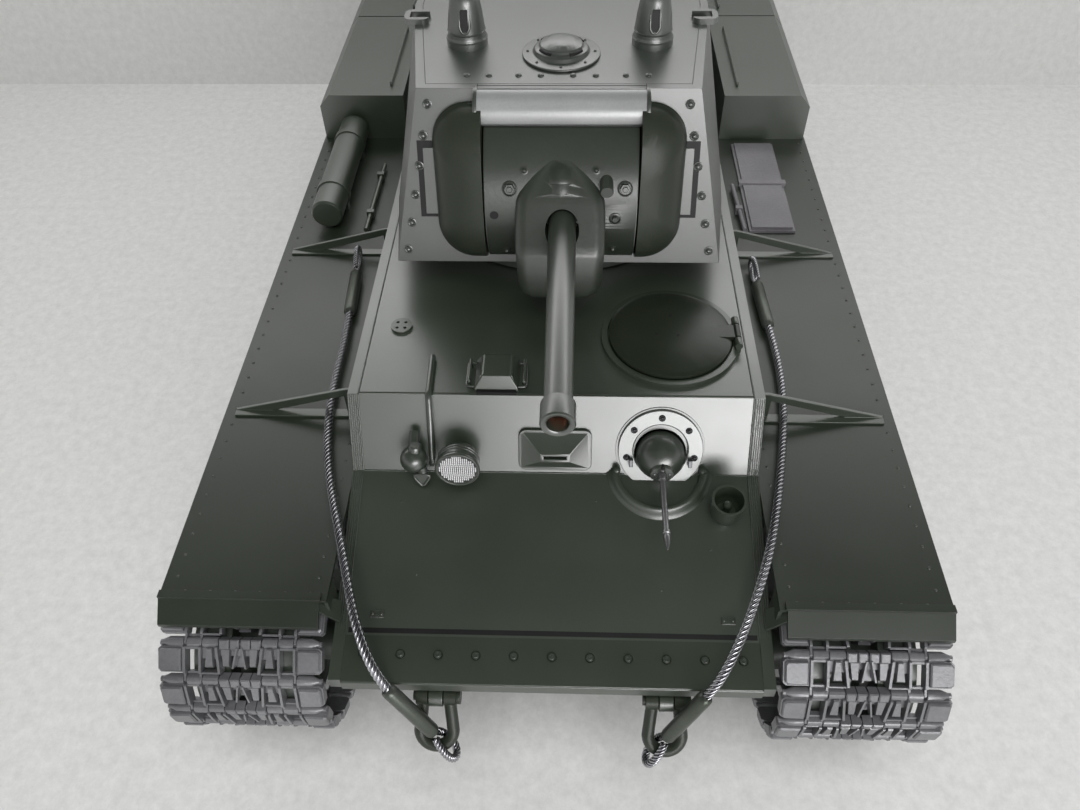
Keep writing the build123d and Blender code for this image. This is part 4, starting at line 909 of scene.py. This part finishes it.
def roof_cover_details():
    """Periscope cover with its sloping sides, a black box of painted shade in its opening and wire guards; black
    discs of painted shade for the small holes of the hatch lid.
    """
    x, y = -16.6, -130.9
    rings = []
    for z, a, b, shift in ((0, 6.3, 5.9, 0), (1.4, 6.2, 5.8, 0), (4.7, 4.1, 4.4, 0.2), (5.0, 3.8, 4.1, 0.2)):
        rings.append([(x + i * a, y + j * b + shift, ROOF_Z + z) for i, j in CORNERS])
    # A black box in the cover's opening: painted shade.
    dark = Shape().box(x - 5.6, x + 5.6, y - 7.0, y - 5.8, ROOF_Z - 0.3, ROOF_Z + 1.0)
    wires = Shape()
    for side in (-1, 1):
        near, far, z = x + side * 6.2, x + side * 8.4, ROOF_Z + 1.6
        bends = [(near, y - 5.2, z), (far, y - 5.2, z), (far, y + 4.2, z), (near, y + 4.2, z)]
        wires.tube(arc_path(bends, 0.9), 0.42, 10)
    hull_piece("periscope_cover", Shape().loft(rings), hull_green, bevel=0.35)
    hull_piece("periscope_opening", dark, black_and_painted_shade)
    hull_piece("periscope_wires", wires, fitting_green, sharp=60)
    # Black discs on the hatch lid: painted shade of its small holes.
    holes = Shape()
    for dx, dy in ((0.2, 5.6), (-4.3, -2.6), (1.9, -3.0)):
        holes.lathe([(0.5, 0), (0.5, 0.35), (0.02, 0.35)], flat_at(33.8 + dx, -114.1 + dy, ROOF_Z + 4.0), 14)
    piece("hatch_holes", holes, "hull_hatch", black_and_painted_shade, "hull_paint")


fender_details()
armour_edges()
headlight_details()
glacis_details()
flange_details()
splash_guard()
horn_details()
machine_gun_details()
roof_cover_details()


# ---------------- turret fittings
def on_turret_front(x, z):
    return on_slope(TURRET_HIGH, TURRET_LOW, x, z)


def on_mantlet(x, z):
    """A matrix on the mantlet's curved face, Z pointing outward."""
    rise = z - TRUNNION.z
    y = TRUNNION.y - sqrt(MANTLET_R ** 2 - rise ** 2)
    return facing((x, y, z), (0, y - TRUNNION.y, rise), (0, 0.3, 1))


def turret_piece(name, shape, material, **options):
    return piece(name, shape, "turret", material, "turret_paint", **options)


def mantlet_piece(name, shape, material, **options):
    return piece(name, shape, "gun_mount", material, "mantlet_paint", **options)


def ringed_bolt(shape, at):
    """A domed bolt head that sits in a shallow machined ring."""
    shape.lathe([(1.35, 0), (1.35, 0.22), (1.13, 0.3), (0.93, 0.12), (0.02, 0.1)], at, 24)
    return shape.dome(at @ flat_at(0, 0, 0.1), 0.85, 0.7, 16, 4)


def turret_front_details():
    """Bolts of the front plate, bearing covers, end caps of the hood and the seams beside it."""
    bolts, dark, plates = Shape(), Shape(), Shape()
    for i in range(6):
        for side in (-1, 1):
            ringed_bolt(bolts, on_turret_front(side * (36.1 + 1.9 * i), 159.3 - 8.65 * i))
    # Black outlines round the bearing covers: painted shade in their recesses.
    recess = [(35.3, 149.2), (40.0, 149.2), (40.6, 126.6), (35.3, 126.6)]
    cover = [(35.3, 147.3), (38.4, 147.3), (39.0, 127.6), (35.3, 127.6)]
    for side in (-1, 1):
        for shape, outline, height in ((dark, recess, 0.12), (plates, cover, 0.4)):
            corners = [on_turret_front(side * x, z) for x, z in outline[::side]]
            shape.loft([[at @ Vector((0, 0, depth)) for at in corners] for depth in (-0.3, height)])
    turret_piece("turret_bolts", bolts, turret_green, sharp=50)
    turret_piece("bearing_recesses", dark, black_and_painted_shade)
    turret_piece("bearing_covers", plates, turret_green, bevel=0.12)

    caps, seams = Shape(), Shape()
    for x0, x1 in ((HOOD_RIGHT - 1.1, HOOD_RIGHT), (HOOD_LEFT, HOOD_LEFT + 1.1)):
        caps.lathe([(6.35, 0), (6.45, 0.15), (6.45, 0.95), (6.35, 1.1)],
                   facing((x0, HOOD_Y, HOOD_Z), (1, 0, 0)), 48)
        caps.ball(((x0 + x1) / 2, -88.9, 153.6), 0.8, 12, 6)
    turret_piece("hood_caps", caps, turret_green, sharp=50)
    front, low, high = TURRET_HIGH[0], TURRET_TOP - 0.3, TURRET_TOP + 0.06
    seams.box(HOOD_RIGHT, HOOD_LEFT, front + 1.3, front + 1.5, low, high)
    for x in (HOOD_RIGHT, HOOD_LEFT):
        seams.box(x - 0.1, x + 0.1, front + 0.1, front + 2.4, low, high)
    turret_piece("roof_front_seams", seams, black_and_painted_shade)


def snout():
    """The cast housing round the barrel: wide flat lip, sloping face that narrows to a domed top."""
    outline = [(112.5, -109.6, 8.6), (112.9, -110.2, 10.0), (114.0, -110.6, 11.2), (116.0, -110.8, 12.0),
               (120.0, -110.9, 12.3), (127.6, -110.6, 12.6), (128.6, -110.2, 12.65), (130.5, -108.9, 12.7),
               (134.0, -106.4, 12.7), (137.0, -104.3, 12.6), (139.6, -102.5, 12.3), (141.2, -101.4, 11.7),
               (143.0, -99.9, 10.6), (145.4, -97.9, 8.9), (147.6, -96.0, 6.9), (149.2, -94.6, 5.4),
               (150.1, -93.7, 4.4)]
    rings = []
    for z, y, half_width in outline:
        r = min(3.4, half_width * 0.8)
        side = [(-half_width, -88.0), (-half_width, y + r)]
        for turn in range(10, 90, 10):
            across, forward = polar(r, turn)
            side.append((-half_width + r - across, y + r - forward))
        side.append((-half_width + r, y))
        ring = side + [(-x, y) for x, y in reversed(side)]
        rings.append([Vector((MANTLET_X + x, y, z)) for x, y in ring])
    return Shape().loft(rings)


def hollow_out(item, cutter):
    """Cuts a shape out of a piece."""
    mesh = bpy.data.meshes.new("cutter")
    mesh.from_pydata([tuple(p * MM) for p in cutter.points], [], cutter.faces)
    tool = add_object("cutter", mesh)
    cut = item.modifiers.new("hole", "BOOLEAN")
    cut.operation, cut.object, cut.solver = "DIFFERENCE", tool, "EXACT"
    cut.use_self = True
    item.data = solved_mesh(item)
    item.modifiers.remove(cut)
    bpy.data.objects.remove(tool)


def gun_bore(radius, start_y, length):
    """A round cutter along the gun's axis, from start_y towards the muzzle."""
    return Shape().lathe([(radius, 0), (radius, length)], facing((GUN_X, start_y, GUN_Z), (0, -1, 0)), 48)


def mantlet_body():
    """Curved shield with its trunnion, and the snout with the stepped collar under its top."""
    left, right, low, sweep = 22.5, -20.5, -38.5, 106.5

    def rim(angle, radius):
        back, rise = polar(radius, angle)
        return TRUNNION.y - back, TRUNNION.z + rise
    arc = [rim(low + sweep * k / 48, MANTLET_R) for k in range(49)]
    arc += [rim(low + sweep - sweep * k / 24, 22.5) for k in range(25)]
    shield = Shape().loft([[(x, y, z) for y, z in arc] for x in (right, left)])
    shield.rod((right - 4.0, TRUNNION.y, TRUNNION.z), (left + 4.0, TRUNNION.y, TRUNNION.z), 3.0, 32)
    shield.box(right, left, -97.0, -72.0, 129.0, 136.4)
    hollow_out(mantlet_piece("mantlet_shield", shield, mantlet_green, replaces=["mantlet"], bevel=0.3),
               gun_bore(GUN_R + 0.15, -50.0, 80.0))
    nose = snout().lathe([(3.0, -0.6), (4.1, 0.0), (4.8, 1.0), (5.0, 3.6), (5.0, 4.8), (4.9, 5.0), (4.6, 5.1),
                          (4.55, 5.4), (4.55, 7.4), (4.45, 7.6), (4.15, 7.7), (3.9, 8.4), (3.6, 11.0),
                          (0.02, 11.2)], facing((MANTLET_X, -92.85, 145.4), (0, -0.641, -0.768)), 48)
    hollow_out(mantlet_piece("recoil_housing", nose, mantlet_green, sharp=42), gun_bore(4.75, -100.0, 20.0))


def mantlet_bolts():
    """Hex plugs in their rings, small domed bolts, the coaxial stub and the sight hole."""
    bolts = Shape()
    for x, z in ((-13.2, 142.3), (18.8, 142.4)):
        at = on_mantlet(x, z)
        bolts.lathe([(2.15, -0.3), (2.15, 0.35), (1.85, 0.5), (1.7, 0.1), (0.02, 0.1)], at, 32)
        bolts.hex_head(at @ flat_at(0, 0, 0.1), 1.6, 1.1)
        bolts.hex_head(at @ flat_at(0, 0, 1.15), 0.9, 0.35)
    at = on_mantlet(16.3, 133.9)
    bolts.lathe([(1.75, -0.3), (1.75, 0.3), (1.4, 0.45), (1.2, 0.1), (0.02, 0.1)], at, 28)
    bolts.hex_head(at @ flat_at(0, 0, 0.1), 0.95, 0.9)
    for x, z in ((-9.1, 146.7), (10.7, 146.8), (-14.9, 120.4), (16.3, 121.6)):
        at = on_mantlet(x, z)
        bolts.lathe([(1.15, -0.3), (1.15, 0.2), (0.8, 0.3)], at, 20)
        bolts.dome(at @ flat_at(0, 0, 0.1), 0.75, 0.9, 14, 4)
    bolts.lathe([(1.85, 0), (1.85, 10.2), (1.6, 10.6), (0.02, 10.6)],
                facing((13.6, -92.4, 144.0), (0, -1, 0)), 28)
    # A black disc for the sight hole: painted shade.
    hole = Shape().lathe([(1.25, -0.5), (1.25, 0.06), (0.02, 0.06)], on_mantlet(-17.8, 134.7), 24)
    mantlet_piece("mantlet_bolts", bolts, mantlet_green, sharp=40)
    mantlet_piece("sight_hole", hole, black_and_painted_shade, sharp=40)


def gun_details():
    """Turned barrel with its muzzle ring, hollow to the lamp with its round front and bars."""
    low, high = span("gun_barrel")
    tube = Shape().lathe([(GUN_R, high.y - low.y), (GUN_R, 60.0), (GUN_R - 0.45, 6.6), (4.1, 6.1),
                          (4.15, 5.8), (4.15, 0.35), (3.85, 0.0), (3.0, 0.0), (2.62, 0.3), (2.6, 26.0),
                          (0.02, 26.0)],
                         facing((GUN_X, low.y, GUN_Z), (0, 1, 0)), 64)
    piece("barrel_turned", tube, "gun_recoil", fitting_green, "barrel_metal", ["gun_barrel"], sharp=40)
    lamp = Shape().ball((GUN_X, low.y + 7.5, GUN_Z), 2.45, 24, 12)
    for k in range(5):
        across = -1.6 + 0.8 * k
        reach = sqrt(2.3 ** 2 - across ** 2)
        x, y = GUN_X + across, low.y + 4.8
        lamp.rod((x, y, GUN_Z - reach), (x, y, GUN_Z + reach), 0.22, 8)
    piece("muzzle_lamp_lens", lamp, "gun_recoil", copper_lamp, "lamp_orange", ["muzzle_lamp"], sharp=60)


def roof_details():
    """Ventilator slots and screws, framed windows and rings of the periscope guards; the slots and windows are
    filled black as painted shade.
    """
    vent_x, vent_y, guard_y = 0.6, -63.0, -56.0
    screws, dark, frames = Shape(), Shape(), Shape()

    def on_vent(radius, angle, height):
        x, y = polar(radius, angle)
        return Vector((vent_x + x, vent_y + y, TURRET_TOP + height))
    for k in range(8):
        screws.dome(flat_at(*on_vent(9.6, 45 * k, 0.9)), 0.45, 0.4, 10, 2)
    # Black tubes in the ventilator slots: painted shade.
    for start in (205, 292, 20, 110):
        dark.tube([on_vent(6.35, start + a, 2.45) for a in range(0, 45, 5)], 0.62, 8)
    for x in (-26.9, 26.9):
        window = []
        for k in range(24):
            across, rise = polar(1.0, 15 * k)
            height = 8.6 + 2.4 * rise + (1.2 if rise > 0 else -1.2)
            lean = 5.4 - (height - 4.4) * 0.215
            window.append(Vector((x + 1.45 * across, guard_y - lean + 0.1, TURRET_TOP + height)))
        frames.tube(window, 0.4, 8, closed=True)
        # A black sheet in each window: painted shade.
        dark.loft([[p + Vector((0, y, 0)) for p in window] for y in (0.25, -0.05)])
        for height, r in ((2.1, 5.95), (4.3, 5.55)):
            frames.lathe([(r - 0.1, -0.25), (r + 0.05, 0), (r - 0.1, 0.25)],
                         flat_at(x, guard_y, TURRET_TOP + height), 40)
    turret_piece("vent_screws", screws, turret_green, sharp=50)
    turret_piece("roof_openings", dark, black_and_painted_shade, sharp=50)
    turret_piece("guard_frames", frames, fitting_green, sharp=50)


turret_front_details()
mantlet_body()
mantlet_bolts()
gun_details()
roof_details()


# ---------------- stage, lights and camera
def stage_material(name, low, high, see_through=False):
    """Dull card with a cloudy tone; see_through clears its back for views from behind."""
    material, tree, shader, vector = new_material(name)
    tone = noise(tree, vector, 220.0, 6.0, 0.75)
    tree.links.new(ramp(tree, tone, [(0.35, low), (0.65, high)]), shader.inputs["Base Color"])
    set_inputs(shader, {"Roughness": 0.9, "Specular IOR Level": 0.1})
    if see_through:
        clear = tree.nodes.new("ShaderNodeBsdfTransparent")
        mix = tree.nodes.new("ShaderNodeMixShader")
        side = tree.nodes.new("ShaderNodeNewGeometry")
        tree.links.new(side.outputs["Backfacing"], mix.inputs["Fac"])
        tree.links.new(shader.outputs["BSDF"], mix.inputs[1])
        tree.links.new(clear.outputs["BSDF"], mix.inputs[2])
        tree.links.new(mix.outputs["Shader"], tree.nodes["Material Output"].inputs["Surface"])
    return material


def stage_plane(name, corners, material):
    mesh = bpy.data.meshes.new(name)
    mesh.from_pydata(corners, [], [tuple(range(len(corners)))])
    mesh.materials.append(material)
    add_object(name, mesh)


# The stage, the lights and the camera are in metres.
FLOOR_Z, FLOOR_HALF = -0.0002, 6.0
WALL_Y, WALL_HALF, WALL_TOP = 0.232, 1.6, 0.55
stage_plane("floor", [(i * FLOOR_HALF, j * FLOOR_HALF, FLOOR_Z) for i, j in CORNERS],
            stage_material("floor_grey", (0.60, 0.60, 0.59), (0.70, 0.70, 0.69)))
stage_plane("wall", [(i * WALL_HALF, WALL_Y, WALL_TOP if j > 0 else FLOOR_Z) for i, j in CORNERS],
            stage_material("wall_grey", (0.53, 0.53, 0.52), (0.61, 0.61, 0.60), True))


def area_light(name, place, target, size, power, glossy=True, tall=None):
    """A soft lamp that the camera doesn't see; tall is its second side where it isn't square."""
    light = bpy.data.lights.new(name, "AREA")
    light.shape = "RECTANGLE"
    light.size, light.size_y = size, tall or size
    light.energy = power
    item = add_object(name, light)
    item.location = place
    item.rotation_euler = (Vector(place) - Vector(target)).to_track_quat("Z", "Y").to_euler()
    item.visible_glossy = glossy
    item.visible_camera = False


area_light("overhead", (0.05, -0.66, 1.12), (0, -0.16, 0.05), 0.8, 12.6, glossy=False)
area_light("front_right", (0.30, -1.00, 0.24), (0, -0.15, 0.08), 0.62, 3.9, tall=0.36)
area_light("back_glow", (0.0, 0.226, 0.34), (0, -0.6, 0.10), 1.3, 1.5, tall=0.20)

world = bpy.data.worlds.new("studio")
bpy.context.scene.world = world
world.use_nodes = True
sky = world.node_tree
direction = sky.nodes.new("ShaderNodeTexCoord")
split = sky.nodes.new("ShaderNodeSeparateXYZ")
sky.links.new(direction.outputs["Generated"], split.inputs["Vector"])
shades = ramp(sky, split.outputs["Z"], [(0.0, 0.60), (0.16, 0.50), (0.42, 0.12), (1.0, 0.04)])
sky.links.new(shades, sky.nodes["Background"].inputs["Color"])
sky.nodes["Background"].inputs["Strength"].default_value = 0.9

# The camera looks down over the bow; pitch is below the horizon, and yaw and roll are small.
CAMERA_AT = (0.0038, -0.30648, 0.28192)
PITCH, YAW, ROLL = radians(47.69), radians(-2.74), radians(-1.33)
ahead = Vector((sin(YAW) * cos(PITCH), cos(YAW) * cos(PITCH), -sin(PITCH)))
level = Vector((cos(YAW), -sin(YAW), 0))
upward = level.cross(ahead)
right = level * cos(ROLL) + upward * sin(ROLL)
up = upward * cos(ROLL) - level * sin(ROLL)
lens = bpy.data.cameras.new("camera")
lens.lens, lens.sensor_width = 29.28, 36.0
lens.clip_start, lens.clip_end = 0.01, 20.0
camera = add_object("camera", lens)
camera.matrix_world = Matrix((right, up, -ahead)).transposed().to_4x4()
camera.location = CAMERA_AT
bpy.context.scene.camera = camera
bpy.context.scene.view_settings.view_transform = "Standard"
